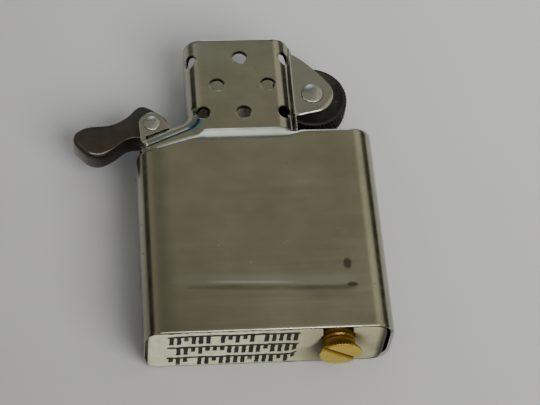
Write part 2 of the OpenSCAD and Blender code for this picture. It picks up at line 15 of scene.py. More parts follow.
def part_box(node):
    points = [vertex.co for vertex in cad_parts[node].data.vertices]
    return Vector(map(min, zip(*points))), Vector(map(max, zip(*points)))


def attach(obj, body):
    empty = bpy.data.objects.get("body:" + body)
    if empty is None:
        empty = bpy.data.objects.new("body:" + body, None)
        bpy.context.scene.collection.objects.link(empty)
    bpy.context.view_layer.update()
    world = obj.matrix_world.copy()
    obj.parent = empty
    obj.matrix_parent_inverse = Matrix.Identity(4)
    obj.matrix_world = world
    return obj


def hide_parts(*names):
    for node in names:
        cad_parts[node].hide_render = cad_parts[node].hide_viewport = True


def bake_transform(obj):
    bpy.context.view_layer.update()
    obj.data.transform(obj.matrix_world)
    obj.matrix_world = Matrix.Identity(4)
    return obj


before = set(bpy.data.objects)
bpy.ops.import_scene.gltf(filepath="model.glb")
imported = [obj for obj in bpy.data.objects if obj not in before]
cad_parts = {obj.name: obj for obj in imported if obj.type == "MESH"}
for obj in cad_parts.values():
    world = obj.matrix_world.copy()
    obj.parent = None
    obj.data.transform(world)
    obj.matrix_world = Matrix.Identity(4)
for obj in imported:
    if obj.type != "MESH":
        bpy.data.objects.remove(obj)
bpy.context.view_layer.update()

# Sizes that several pieces share, in millimetres

MM = 0.001
LEFT, RIGHT = -18.1, 18.1
FOOT, DECK, TOP = -17.0, 17.0, 34.7
THICK, MID = 10.8, 5.4
CORNER_R, SHEET = 3.1, 0.5

FRONT, WALL_X, EDGE_R = 9.9, -9.85, 2.8
EAR_X, EAR_Z = 7.05, 8.07
AXLE, EAR_R = np.array([9.9, 25.35]), 3.3
PIVOT, CAM_EAR_R, CAM_EAR_Z = np.array([-15.4, 20.45]), 2.0, 8.12
SCREW_X, WICK_X = 10.3, -1.5
SCREW_AXIS = (SCREW_X, 0, MID)
WICK_AXIS = (WICK_X, 0, MID)


# Helpers for shapes

def smooth(low, high, x):
    """0 below low, 1 above high, and 3t^2 - 2t^3 between them; it falls where low is the greater."""
    t = np.clip((x - low) / (high - low), 0, 1)
    return t * t * (3 - 2 * t)


def angles(count):
    """Even angles round a full turn."""
    return np.linspace(0, 2 * np.pi, count, endpoint=False)


def lumps(p, size, seed):
    """Soft unevenness from -1 to 1: the mean of waves in fixed random directions, size millimetres long."""
    rng = np.random.default_rng(seed)
    ways = rng.normal(size=(9, p.shape[-1]))
    stretch = rng.uniform(0.6, 1.7, (9, 1))
    ways *= 2 * np.pi / size / np.linalg.norm(ways, axis=1, keepdims=True) * stretch
    return np.sin(p @ ways.T + rng.uniform(0, 2 * np.pi, 9)).mean(axis=-1) * 2


def grid(points, loop_u=False, loop_v=False):
    """Quads over points laid out as [u][v], closed along u or v where the surface runs round."""
    nu, nv = points.shape[:2]
    i, j = np.meshgrid(np.arange(nu - (not loop_u)), np.arange(nv - (not loop_v)), indexing="ij")
    i2, j2 = (i + 1) % nu, (j + 1) % nv
    quads = np.stack([i * nv + j, i2 * nv + j, i2 * nv + j2, i * nv + j2], -1).reshape(-1, 4)
    return points.reshape(-1, 3), quads.tolist()


def joined(*patches):
    """Several patches as one: the face numbers of each move up by the points before it."""
    start = np.cumsum([0] + [len(v) for v, _ in patches])
    faces = [[k + s for k in f] for s, (_, fs) in zip(start, patches) for f in fs]
    return np.concatenate([v for v, _ in patches]), faces


def turned_over(patch):
    """The same patch on the unit's back: Z becomes the thickness less Z, and faces run the other way."""
    verts, faces = patch
    return verts * [1, 1, -1] + [0, 0, THICK], [f[::-1] for f in faces]


def lathe(profile, centre, axis, turns=96):
    """A profile of radius and height, turned round an axis along Y or Z through centre."""
    r, h = np.asarray(profile, float).T
    a = angles(turns)[:, None]
    x, y = r * np.cos(a), r * np.sin(a)
    h = np.broadcast_to(h, x.shape)
    points = np.stack([x, y, h], -1) if axis == "Z" else np.stack([y, h, x], -1)
    return grid(points + centre, loop_u=True)


def inside(points, loop):
    """Whether flat points lie in a closed loop: an odd number of its sides crosses the ray along X."""
    a, b = loop, np.roll(loop, -1, axis=0)
    x, y = points[:, :1], points[:, 1:]
    spans = (a[:, 1] > y) != (b[:, 1] > y)
    rise = np.where(b[:, 1] == a[:, 1], 1e-9, b[:, 1] - a[:, 1])
    before = x < a[:, 0] + (y - a[:, 1]) * (b[:, 0] - a[:, 0]) / rise
    return (spans & before).sum(axis=1) % 2 == 1


def distance(points, loops, chunk=2000):
    """Distance from flat points to the nearest point of some loops, worked out chunk by chunk."""
    rim = np.concatenate(loops)
    return np.concatenate([np.sqrt(((p[:, None] - rim) ** 2).sum(-1).min(axis=1))
                           for p in np.array_split(points, len(points) // chunk + 1)])


def even(loop, step):
    """A closed loop resampled so that no side is longer than step."""
    a, b = loop, np.roll(loop, -1, axis=0)
    counts = np.maximum(1, np.ceil(np.linalg.norm(b - a, axis=1) / step).astype(int))
    return np.concatenate([p + (q - p) * np.linspace(0, 1, k, endpoint=False)[:, None]
                           for p, q, k in zip(a, b, counts)])


def ring(centre, r, n, start=0.0, end=2 * np.pi):
    """Points on a circle or, with both ends given, on an arc that takes in its last point."""
    whole = abs(end - start - 2 * np.pi) < 1e-9
    a = np.linspace(start, end, n, endpoint=not whole)
    return np.asarray(centre) + r * np.stack([np.cos(a), np.sin(a)], 1)


def touch(p, c, r, side):
    """Angle of the point where a line from p touches the circle round c."""
    d = p - c
    return np.arctan2(d[1], d[0]) + side * np.arccos(r / np.linalg.norm(d))


def crossed(x, y):
    """Flat points for every pair of an x and a y."""
    x, y = np.meshgrid(x, y)
    return np.stack([x.ravel(), y.ravel()], 1)


def lattice(x_low, x_high, y_low, y_high, step):
    """A plain field of points."""
    return crossed(np.arange(x_low, x_high, step), np.arange(y_low, y_high, step))


def ways_in(loop):
    """Unit ways from a closed loop's points to its inside, square to the line between both neighbours."""
    after = np.roll(loop, -1, axis=0)
    way = after - np.roll(loop, 1, axis=0)
    left = np.stack([-way[:, 1], way[:, 0]], 1) / np.linalg.norm(way, axis=1, keepdims=True)
    return np.sign(np.cross(loop, after).sum()) * left


def inset_rows(loop, gaps):
    """Points inside a closed loop, in rows that keep these gaps from it."""
    inwards = ways_in(loop)
    return np.concatenate([loop + gap * inwards for gap in gaps])


def sheet_patch(outline, holes, filling, clear):
    """Flat triangles inside an outline and round its holes, with filling points kept clear of all rims."""
    loops = [outline, *holes]
    filling = filling[inside(filling, outline) & (distance(filling, loops) > clear)]
    for hole in holes:
        filling = filling[~inside(filling, hole)]
    start = np.cumsum([0] + [len(p) for p in loops])
    sides = [(s + k, s + (k + 1) % len(p)) for s, p in zip(start, loops) for k in range(len(p))]
    points = np.concatenate([*loops, filling])
    verts, _, faces, *_ = delaunay_2d_cdt(points.tolist(), sides, [], 0, 1e-5)
    verts, faces = np.array([tuple(v) for v in verts]), np.array(faces)
    centres = verts[faces].mean(axis=1)
    kept = inside(centres, outline)
    for hole in holes:
        kept &= ~inside(centres, hole)
    faces = faces[kept]
    a, b, c = (verts[faces[:, k]] for k in range(3))
    left = (b - a)[:, 0] * (c - a)[:, 1] - (b - a)[:, 1] * (c - a)[:, 0]
    faces[left < 0] = faces[left < 0][:, ::-1]
    return verts, faces.tolist()


def finished(name, patch, material, body, nodes, weld=True, closed=False, thick=0, bevel=0,
             attribute=None):
    """A piece from points and faces in millimetres: welded, finished by modifiers, riding on its body."""
    verts, faces = patch
    mesh = bpy.data.meshes.new(name)
    mesh.from_pydata((np.asarray(verts) * MM).tolist(), [], faces)
    if attribute is not None:
        label, values = attribute
        values = np.asarray(values, np.float32)
        kind, field = ("FLOAT", "value") if values.ndim == 1 else ("FLOAT_VECTOR", "vector")
        layer = mesh.attributes.new(label, kind, "POINT")
        layer.data.foreach_set(field, values.ravel())
    work = bmesh.new()
    work.from_mesh(mesh)
    if weld:
        bmesh.ops.remove_doubles(work, verts=work.verts, dist=1e-6)
        bmesh.ops.dissolve_degenerate(work, edges=work.edges, dist=1e-7)
    if closed:
        bmesh.ops.recalc_face_normals(work, faces=work.faces)
    work.to_mesh(mesh)
    work.free()
    mesh.shade_smooth()
    piece = bpy.data.objects.new(name, mesh)
    bpy.context.scene.collection.objects.link(piece)
    if thick:
        wall = piece.modifiers.new("wall", "SOLIDIFY")
        wall.thickness, wall.offset = thick * MM, -1
    if bevel:
        edge = piece.modifiers.new("edge", "BEVEL")
        edge.width, edge.segments, edge.limit_method = bevel * MM, 2, "ANGLE"
        edge.angle_limit = np.radians(40)
        normals = piece.modifiers.new("normals", "WEIGHTED_NORMAL")
        normals.keep_sharp = True
    mesh.materials.append(material)
    if body:
        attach(piece, body)
    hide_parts(*nodes)
    return piece


# Helpers for materials

class Wiring:
    """Adds nodes to a shader tree; each input is a number, a colour or another node's output."""

    def __init__(self, tree):
        self.tree = tree

    def put(self, socket, value):
        """Sets a socket to a value, or links it to another node's output."""
        if isinstance(value, bpy.types.NodeSocket):
            self.tree.links.new(value, socket)
        else:
            socket.default_value = value

    def add(self, kind, inputs, **settings):
        """A new node with its settings and inputs."""
        node = self.tree.nodes.new("ShaderNode" + kind)
        for key, value in settings.items():
            setattr(node, key, value)
        for key, value in inputs.items():
            self.put(node.inputs[key], value)
        return node

    def use(self, tree, **inputs):
        """The outputs of a placed node group with its inputs set."""
        return self.add("Group", inputs, node_tree=tree).outputs

    def math(self, operation, a, b=0.0, c=0.0):
        """One step of arithmetic."""
        return self.add("Math", {0: a, 1: b, 2: c}, operation=operation).outputs[0]

    def times(self, first, *others):
        """The product of two or more values."""
        for value in others:
            first = self.math("MULTIPLY", first, value)
        return first

    def mix(self, share, a, b):
        """Colour a, turned into b by a share."""
        return self.add("Mix", {0: share, 6: a, 7: b}, data_type="RGBA").outputs[2]

    def layers(self, colour, *marks):
        """A colour under marks that lie over it one by one, each with its mask and its own colour."""
        for mask, tint in marks:
            colour = self.mix(mask, colour, (*tint, 1))
        return colour

    def noise(self, vector, scale, detail=4.0, rough=0.55):
        """Cloudy noise from 0 to 1."""
        inputs = {"Vector": vector, "Scale": scale, "Detail": detail, "Roughness": rough}
        return self.add("TexNoise", inputs).outputs[0]

    def stretch(self, vector, scale):
        """Coordinates scaled along each axis."""
        return self.add("Mapping", {"Vector": vector, "Scale": scale}).outputs[0]

    def span(self, value, low, high, to_low=0.0, to_high=1.0):
        """A value's way from low to high, held at both ends."""
        inputs = {0: value, 1: low, 2: high, 3: to_low, 4: to_high}
        return self.add("MapRange", inputs, clamp=True).outputs[0]

    def between(self, value, start, full, fade, end):
        """1 from full to fade, and 0 before start and after end."""
        return self.times(self.span(value, start, full), self.span(value, end, fade))

    def oval(self, across, along):
        """The square of a distance from its two shares."""
        return self.math("MULTIPLY_ADD", across, across, self.times(along, along))

    def attribute(self, name, output="Fac"):
        """A value that the piece's points carry."""
        return self.add("Attribute", {}, attribute_name=name).outputs[output]

    def millimetres(self, place):
        """X, Y and Z of a place in millimetres."""
        scaled = self.add("VectorMath", {0: place, 1: (1 / MM, 1 / MM, 1 / MM)}, operation="MULTIPLY")
        return self.add("SeparateXYZ", {0: scaled.outputs[0]}).outputs


def shared(name, inputs, outputs):
    """A new node group with these named sockets, and its wiring, inputs and outputs."""
    tree = bpy.data.node_groups.new(name, "ShaderNodeTree")
    for label, kind, value in inputs:
        socket = tree.interface.new_socket(label, in_out="INPUT", socket_type="NodeSocket" + kind)
        if value is not None:
            socket.default_value = value
    for label, kind in outputs:
        tree.interface.new_socket(label, in_out="OUTPUT", socket_type="NodeSocket" + kind)
    given = tree.nodes.new("NodeGroupInput").outputs
    out = tree.nodes.new("NodeGroupOutput").inputs
    return tree, Wiring(tree), given, out


def rolled_grain():
    """Rolling marks of sheet metal: fine streaks along one way, broad clouds, and a height for the bump."""
    tree, w, given, out = shared(
        "rolled_grain",
        [("Vector", "Vector", None), ("Streaks", "Float", 900.0), ("Clouds", "Float", 120.0)],
        [("Streak", "Float"), ("Cloud", "Float"), ("Height", "Float")])
    long = w.stretch(given["Vector"], (0.05, 1.0, 0.4))
    streak = w.noise(long, given["Streaks"], 5.0, 0.65)
    fine = w.noise(long, w.times(given["Streaks"], 3.1), 3.0, 0.6)
    cloud = w.noise(w.stretch(given["Vector"], (0.8, 1.0, 1.0)), given["Clouds"], 5.0, 0.6)
    w.put(out["Streak"], w.span(streak, 0.3, 0.7))
    w.put(out["Cloud"], w.span(cloud, 0.32, 0.68))
    w.put(out["Height"], w.math("ADD", w.times(streak, 0.7), w.times(fine, 0.3)))
    return tree


def specks():
    """Scattered small marks: a cell pattern cut to its rarest centres and frayed by noise."""
    tree, w, given, out = shared(
        "specks",
        [("Vector", "Vector", None), ("Scale", "Float", 400.0), ("Share", "Float", 0.2)],
        [("Mask", "Float")])
    cells = w.add("TexVoronoi", {"Vector": given["Vector"], "Scale": given["Scale"]})
    pick = w.add("SeparateColor", {0: cells.outputs["Color"]}).outputs[0]
    chosen = w.math("LESS_THAN", pick, given["Share"])
    fringe = w.times(w.noise(given["Vector"], w.times(given["Scale"], 3.0)), 0.3)
    frayed = w.math("ADD", cells.outputs["Distance"], fringe)
    w.put(out["Mask"], w.times(chosen, w.span(frayed, 0.42, 0.3)))
    return tree


def nap():
    """Matted fibres: two crossing sets of stretched noise give a tint and a height."""
    tree, w, given, out = shared(
        "nap",
        [("Vector", "Vector", None), ("Fineness", "Float", 1500.0)],
        [("Tint", "Float"), ("Height", "Float")])
    curl = w.add("TexNoise", {"Vector": given["Vector"], "Scale": 500.0}).outputs[1]
    bend = w.add("VectorMath", {0: curl, 1: (0.0006, 0.0006, 0.0006)}, operation="MULTIPLY").outputs[0]
    bent = w.add("VectorMath", {0: given["Vector"], 1: bend}, operation="ADD").outputs[0]
    across = w.noise(w.stretch(bent, (1.0, 1.0, 0.25)), given["Fineness"], 3.0, 0.6)
    along = w.noise(w.stretch(bent, (0.25, 1.0, 1.0)), given["Fineness"], 3.0, 0.6)
    height = w.math("MAXIMUM", across, along)
    w.put(out["Height"], height)
    w.put(out["Tint"], w.span(height, 0.42, 0.75))
    return tree


def sheet_wear_and_painted_light():
    """Wear of bent sheet with light painted on it: sides greyed by a painted reflection of the table, dark
    pits, rims brightened where the rim value is positive, partly by rubbing and partly as a painted glint,
    and painted shade where it is negative."""
    tree, w, given, out = shared(
        "sheet_wear_and_painted_light",
        [("Colour", "Color", None), ("Flank", "Float", 0.0), ("Pits", "Float", 0.0), ("Rim", "Float", 0.0),
         ("Cloud", "Float", 0.5), ("Worn", "Float", 0.5)],
        [("Colour", "Color")])
    # Positive rim values brighten rims, partly by rubbing and partly as a painted glint; negative ones, above
    # the air holes, are painted shade.
    rub_and_painted_glint = w.times(w.math("MAXIMUM", given["Rim"], 0.0), w.span(given["Cloud"], 0.1, 0.8), given["Worn"])
    painted_shade_above_holes = w.span(given["Rim"], -0.15, -0.7, 0.0, 0.85)
    colour = w.layers(
        given["Colour"],
        # the sides, greyed as a painted reflection of the table
        (w.times(given["Flank"], 0.6), (0.42, 0.415, 0.42)),
        (w.times(given["Pits"], 0.3), (0.05, 0.045, 0.035)),
        (rub_and_painted_glint, (0.72, 0.72, 0.68)),
        (painted_shade_above_holes, (0.03, 0.028, 0.022)))
    w.put(out["Colour"], colour)
    return tree


ROLLED, SPECKS, NAP, WEAR_AND_PAINTED_LIGHT = rolled_grain(), specks(), nap(), sheet_wear_and_painted_light()


def material(name, **plain):
    """A material with a Principled shader whose plain values are set on its own sockets."""
    made = bpy.data.materials.new(name)
    made.use_nodes = True
    w = Wiring(made.node_tree)
    shader = made.node_tree.nodes["Principled BSDF"]
    for key, value in plain.items():
        shader.inputs[key.replace("_", " ")].default_value = value
    place = w.add("TexCoord", {}).outputs["Object"]
    return made, w, shader, place


def relief(w, shader, height, depth, strength=0.5):
    """A bump of that depth in millimetres."""
    bump = w.add("Bump", {"Height": height, "Distance": depth * MM, "Strength": strength})
    w.put(shader.inputs["Normal"], bump.outputs[0])


# Materials

def sheet_steel(name, dark, light, rough, streaks, streaky, worn, side_reflection_heights):
    """Rolled steel: cloudy between two tones, with streaked roughness and the wear of bent sheet with its
    painted light. Its sides, greyed as a painted reflection of the table, lie within the two heights above
    and below the middle that the last argument gives."""
    made, w, shader, place = material(name, Metallic=1.0)
    grain = w.use(ROLLED, Vector=place, Streaks=streaks, Clouds=150.0)
    pits = w.use(SPECKS, Vector=place, Scale=900.0, Share=0.02)["Mask"]
    # heights from the middle: the sides within the given pair get a painted reflection of the table
    height = w.math("ABSOLUTE", w.math("SUBTRACT", w.millimetres(place)[2], MID))
    tone = w.math("ADD", w.times(grain["Cloud"], 1 - streaky), w.times(grain["Streak"], streaky))
    colour = w.use(WEAR_AND_PAINTED_LIGHT, Colour=w.mix(tone, dark, light), Flank=w.span(height, *side_reflection_heights), Pits=pits,
                   Rim=w.attribute("rim"), Cloud=grain["Cloud"], Worn=worn)["Colour"]
    shine = w.span(grain["Streak"], 0.0, 1.0, *rough)
    w.put(shader.inputs["Base Color"], colour)
    w.put(shader.inputs["Roughness"], w.math("ADD", shine, w.times(pits, 0.2)))
    relief(w, shader, grain["Height"], 0.004, 0.35)
    return made, w, shader, place, colour


def tank_steel():
    """The tank's steel: across the lower front a worn band with a light streak and a dark smear below it, two
    blots, a painted dark reflection along the start of the rounding at the cam-side corner, and darker steel
    towards the lower left on the cam's side."""
    blots = ((11.9, -6.6, 0.6, 0.9), (12.3, -10.1, 0.8, 0.4))
    made, w, shader, place, colour = sheet_steel(
        "tank_steel", (0.30, 0.285, 0.198, 1), (0.385, 0.37, 0.262, 1), (0.18, 0.27), 900.0, 0.08, 0.55,
        (4.6, 3.4))
    x, y, z = w.millimetres(place)
    front = w.span(z, 10.2, 10.7)
    here = w.times(w.between(x, -15.5, -12.0, 11.5, 13.5), front)
    wander = w.times(w.noise(w.stretch(place, (0.3, 1, 1)), 160.0), 1.2)
    level = w.math("ADD", w.math("MULTIPLY_ADD", x, 0.036, y), wander)
    patchy = w.span(w.noise(w.stretch(place, (0.25, 1, 1)), 500.0), 0.35, 0.62)
    band = w.times(w.between(level, -9.2, -8.7, -7.8, -6.8), here, 0.36)
    smear = w.times(w.between(level, -10.1, -9.6, -9.4, -8.9), here, patchy, 0.6)
    streak = w.times(w.between(level, -8.9, -8.7, -8.5, -8.3), w.between(x, -9.0, -6.0, 0.0, 5.0), front,
                     0.4)
    # painted dark reflection along the start of the rounding at the cam-side corner
    corner = w.times(w.between(x, -17.2, -16.2, -14.8, -13.0), 0.5)
    # darker towards the lower left
    lower_left_darkening = w.times(w.span(x, 0.0, -16.0), w.span(y, 4.0, -14.0), 0.6)
    marks = [(band, (0.52, 0.53, 0.48)), (smear, (0.09, 0.085, 0.065)), (streak, (0.78, 0.79, 0.75)),
             (corner, (0.16, 0.155, 0.11))]
    for blot_x, blot_y, wide, high in blots:
        across = w.math("DIVIDE", w.math("SUBTRACT", x, blot_x), wide)
        along = w.math("DIVIDE", w.math("SUBTRACT", y, blot_y), high)
        blot = w.times(w.span(w.oval(across, along), 1.4, 0.5, 0.0, 0.9), front)
        marks.append((blot, (0.1, 0.095, 0.07)))
    marks.append((lower_left_darkening, (0.2, 0.19, 0.13)))
    w.put(shader.inputs["Base Color"], w.layers(colour, *marks))
    return made


def chimney_steel():
    """The chimney's steel, brighter and more finely rolled than the tank's, with a painted blue reflection
    along the nook, as an oval that leans with it."""
    made, w, shader, place, colour = sheet_steel(
        "chimney_steel", (0.295, 0.283, 0.208, 1), (0.388, 0.375, 0.288, 1), (0.1, 0.16), 1300.0, 0.2, 0.4,
        (3.8, 2.0))
    x, y, _ = w.millimetres(place)
    x, y = w.math("ADD", x, 8.8), w.math("SUBTRACT", y, 18.8)
    along = w.math("MULTIPLY_ADD", x, 0.5, w.times(y, 0.57))
    across = w.math("MULTIPLY_ADD", x, 1.07, w.times(y, -0.94))
    # painted blue reflection along the nook
    tint = w.span(w.oval(across, along), 1.8, 0.1, 0.0, 0.75)
    w.put(shader.inputs["Base Color"], w.mix(tint, colour, (0.08, 0.27, 0.31, 1)))
    return made


def plain_metal(name, dark, light, rough, scale, pitted, metallic=1.0, oiled=0.0):
    """Solid metal: clouds between two tones, uneven shine, a share of pits that darken it towards a colour,
    and a film of oil if wanted."""
    share, depth, dirt = pitted
    made, w, shader, place = material(name, Metallic=metallic, Coat_Weight=oiled, Coat_Roughness=0.14)
    cloud = w.span(w.noise(place, scale, 6.0, 0.6), 0.3, 0.7)
    fine = w.noise(place, scale * 9, 3.0, 0.6)
    pits = w.use(SPECKS, Vector=place, Scale=scale * 2.5, Share=share)["Mask"]
    w.put(shader.inputs["Base Color"], w.mix(w.times(pits, depth), w.mix(cloud, dark, light), dirt))
    w.put(shader.inputs["Roughness"], w.span(w.math("ADD", cloud, fine), 0.4, 1.4, *rough))
    relief(w, shader, fine, 0.006, 0.4)
    return made


def brass():
    """Turned brass: warm tones, turning marks round the axis, and painted shade in brown where the deep value
    is high: the slot, the flare's underside and the shank in the felt's notch.
    """
    made, w, shader, place = material("brass", Metallic=0.85)
    deep = w.attribute("deep")
    cloud = w.span(w.noise(place, 500.0, 5.0, 0.6), 0.3, 0.7)
    marks = w.noise(w.stretch(place, (0.15, 1.0, 0.15)), 6000.0, 2.0)
    colour = w.mix(cloud, (0.56, 0.39, 0.045, 1), (0.7, 0.54, 0.1, 1))
    # painted shade: the deep value darkens the brass towards brown
    w.put(shader.inputs["Base Color"], w.mix(w.times(deep, 0.85), colour, (0.27, 0.12, 0.02, 1)))
    w.put(shader.inputs["Roughness"], w.span(w.math("ADD", cloud, deep), 0.0, 1.6, 0.2, 0.42))
    relief(w, shader, marks, 0.004, 0.4)
    return made


def soft_stuff(name, pale, shade, fineness, depth, sheen=0.25):
    """Felt, cotton or braid: fibre tint between two tones and a fibrous bump, with a soft sheen."""
    made, w, shader, place = material(name, Roughness=0.95, Sheen_Weight=sheen, Sheen_Roughness=0.6)
    fibres = w.use(NAP, Vector=place, Fineness=fineness)
    cloud = w.span(w.noise(place, 260.0, 4.0, 0.6), 0.35, 0.7)
    colour = w.mix(w.times(cloud, 0.35), w.mix(fibres["Tint"], shade, pale), shade)
    w.put(shader.inputs["Base Color"], colour)
    relief(w, shader, fibres["Height"], depth, 0.7)
    return made, w, shader, colour


def ink_bars(w, place):
    """A mask of three rows of plain ticks that hang from a rule: each cell of a row has a tick or none, long
    or short by chance, and fuzzy, worn edges."""
    row_pitch, tick_pitch, lowest = 3.3, 1.05, 0.3
    x, y, z = w.millimetres(place)
    fuzz = w.times(w.math("SUBTRACT", w.noise(place, 1500.0, 2.0), 0.5), 0.3)
    cell = w.math("DIVIDE", w.math("ADD", x, fuzz), tick_pitch)
    row = w.math("DIVIDE", w.math("SUBTRACT", w.math("ADD", z, fuzz), lowest), row_pitch)
    spot = w.add("CombineXYZ", {0: w.math("FLOOR", cell), 1: w.math("FLOOR", row)}).outputs[0]
    chance = w.add("TexWhiteNoise", {"Vector": spot}, noise_dimensions="2D")
    pick, size, _ = w.add("SeparateColor", {0: chance.outputs[1]}).outputs
    line = w.math("FRACT", row)
    foot = w.times(w.math("GREATER_THAN", size, 0.65), 0.3)
    tall = w.times(w.span(w.math("SUBTRACT", line, foot), 0.06, 0.12), w.span(line, 0.92, 0.86))
    aside = w.math("ABSOLUTE", w.math("SUBTRACT", w.math("FRACT", cell), 0.5))
    tick = w.times(w.span(aside, 0.36, 0.27), tall, w.math("GREATER_THAN", pick, 0.1))
    rule = w.between(line, 0.7, 0.75, 0.87, 0.92)
    worn = w.span(w.noise(place, 600.0, 2.0), 0.2, 0.36, 0.7, 1.0)
    field = w.times(w.between(x, -14.82, -14.74, 4.2, 4.28), w.span(y, -15.5, -16.0))
    return w.times(w.math("MAXIMUM", tick, rule), field, worn), w.math("ADD", x, fuzz)


def printed_felt():
    """Off-white felt, soiled towards the screw, with ink bars, painted shade where it is pressed in left of
    the screw and beside the screw, a stain near its end, and nearly black at its very end. All marks follow
    the points' places at rest, stored on them."""
    made, w, shader, colour = soft_stuff(
        "printed_felt", (0.73, 0.73, 0.53, 1), (0.54, 0.54, 0.39, 1), 1700.0, 0.12, 0.04)
    place = w.attribute("rest", "Vector")
    x, _, z = w.millimetres(place)
    ink, frayed_x = ink_bars(w, place)
    # painted shade: where the felt is pressed in left of the screw, and broadly beside the screw
    below = w.math("SUBTRACT", z, w.math("MULTIPLY_ADD", x, 0.3, 3.05))
    pressed = w.times(w.span(below, 0.1, -0.2), w.span(x, 3.2, 7.5), w.span(x, 12.5, 10.5, 0.0, 0.75))
    beside = w.times(w.between(x, 3.6, 8.2, 9.5, 10.5), 0.35)
    cloud = w.span(w.noise(place, 350.0, 3.0), 0.35, 0.6)
    stain = w.times(w.span(x, 12.5, 16.5), w.span(z, 10.5, 5.0), cloud, 0.7)
    soil = w.span(x, -4.0, 6.0, 0.0, 0.8)
    # the painted shade on the felt, the greater of the two
    felt_painted_shade = w.math("MAXIMUM", pressed, beside)
    black_end = w.span(frayed_x, 15.6, 16.4, 0.0, 0.95)
    colour = w.layers(
        colour, (soil, (0.34, 0.325, 0.19)), (ink, (0.006, 0.006, 0.003)), (felt_painted_shade, (0.16, 0.155, 0.115)),
        (stain, (0.16, 0.14, 0.095)), (black_end, (0.02, 0.019, 0.012)))
    w.put(shader.inputs["Base Color"], colour)
    return made


TANK_STEEL, CHIMNEY_STEEL, BRASS, FELT = tank_steel(), chimney_steel(), brass(), printed_felt()
RIVET_STEEL = plain_metal(
    "rivet_steel", (0.34, 0.34, 0.28, 1), (0.45, 0.45, 0.38, 1), (0.22, 0.32), 500.0,
    (0.06, 0.5, (0.1, 0.1, 0.08, 1)))
SPRING_STEEL = plain_metal(
    "spring_steel", (0.2, 0.2, 0.19, 1), (0.34, 0.33, 0.31, 1), (0.25, 0.4), 400.0,
    (0.1, 0.5, (0.1, 0.07, 0.05, 1)))
CAM_BRONZE = plain_metal(
    "cam_bronze", (0.03, 0.023, 0.014, 1), (0.052, 0.041, 0.027, 1), (0.22, 0.36), 350.0,
    (0.08, 0.4, (0.12, 0.1, 0.075, 1)), metallic=0.75, oiled=0.8)
WHEEL_BLACK = plain_metal(
    "wheel_black", (0.016, 0.015, 0.014, 1), (0.035, 0.032, 0.028, 1), (0.4, 0.62), 500.0,
    (0.12, 0.5, (0.16, 0.12, 0.08, 1)), metallic=0.6)
FLINT_GREY = plain_metal(
    "flint_grey", (0.22, 0.10, 0.045, 1), (0.36, 0.19, 0.09, 1), (0.45, 0.65), 900.0,
    (0.15, 0.5, (0.08, 0.05, 0.03, 1)), metallic=0.5)
COPPER_WIRE = plain_metal(
    "copper_wire", (0.5, 0.22, 0.11, 1), (0.66, 0.34, 0.18, 1), (0.25, 0.4), 700.0,
    (0.1, 0.5, (0.08, 0.05, 0.03, 1)))
COTTON = soft_stuff("cotton", (0.9, 0.88, 0.82, 1), (0.72, 0.69, 0.6, 1), 1100.0, 0.3)[0]
BRAID = soft_stuff("braid", (0.86, 0.83, 0.74, 1), (0.5, 0.46, 0.36, 1), 2000.0, 0.12)[0]


# Tank

FALL_X, RIM_SLOPE, RIM_SOFT = -8.5, 0.3175, 1.1
SLOT_LOW = DECK - 6.0


def rim_height(x):
    """The tank's top rim: level, then falling towards the cam side round a soft corner."""
    t = FALL_X - x
    return DECK - RIM_SLOPE * (t + np.sqrt(t * t + RIM_SOFT ** 2)) / 2


def rim_bend(x):
    """Height, width and depth of the tank's bent-in rim along X: a broad bend up to the chimney's panel, a
    narrow one along the shoulder, and little more than a broken edge elsewhere."""
    past_shoulder = smooth(-9.0, -7.4, x)
    panel = past_shoulder * (1 - smooth(4.4, 7.0, x))
    shoulder = (1 - past_shoulder) * smooth(-17.5, -15, x)
    foot_of_bend = smooth(4.7, 6.2, x) * (1 - smooth(6.2, 7.2, x))
    height = rim_height(x) + 1.1 * panel
    width = 0.5 + 2.3 * panel + 0.45 * shoulder
    depth = 0.15 + 0.74 * panel + 0.32 * shoulder + 0.5 * foot_of_bend
    return height, width, depth


def tank_plan(inset, steps=16):
    """X and Z round the tank's plan with the ways out: straight sides between four quarter circles."""
    r = CORNER_R - inset
    half, low, high = RIGHT - CORNER_R, CORNER_R, THICK - CORNER_R
    turn = np.linspace(0, np.pi / 2, steps)
    starts = np.array([np.pi, np.pi / 2, 0, -np.pi / 2])
    centres = np.array([[-half, high], [half, high], [half, low], [-half, low]])
    a = starts[:, None] - turn
    out = np.stack([np.cos(a), np.sin(a)], -1)
    return centres[:, None] + r * out, out


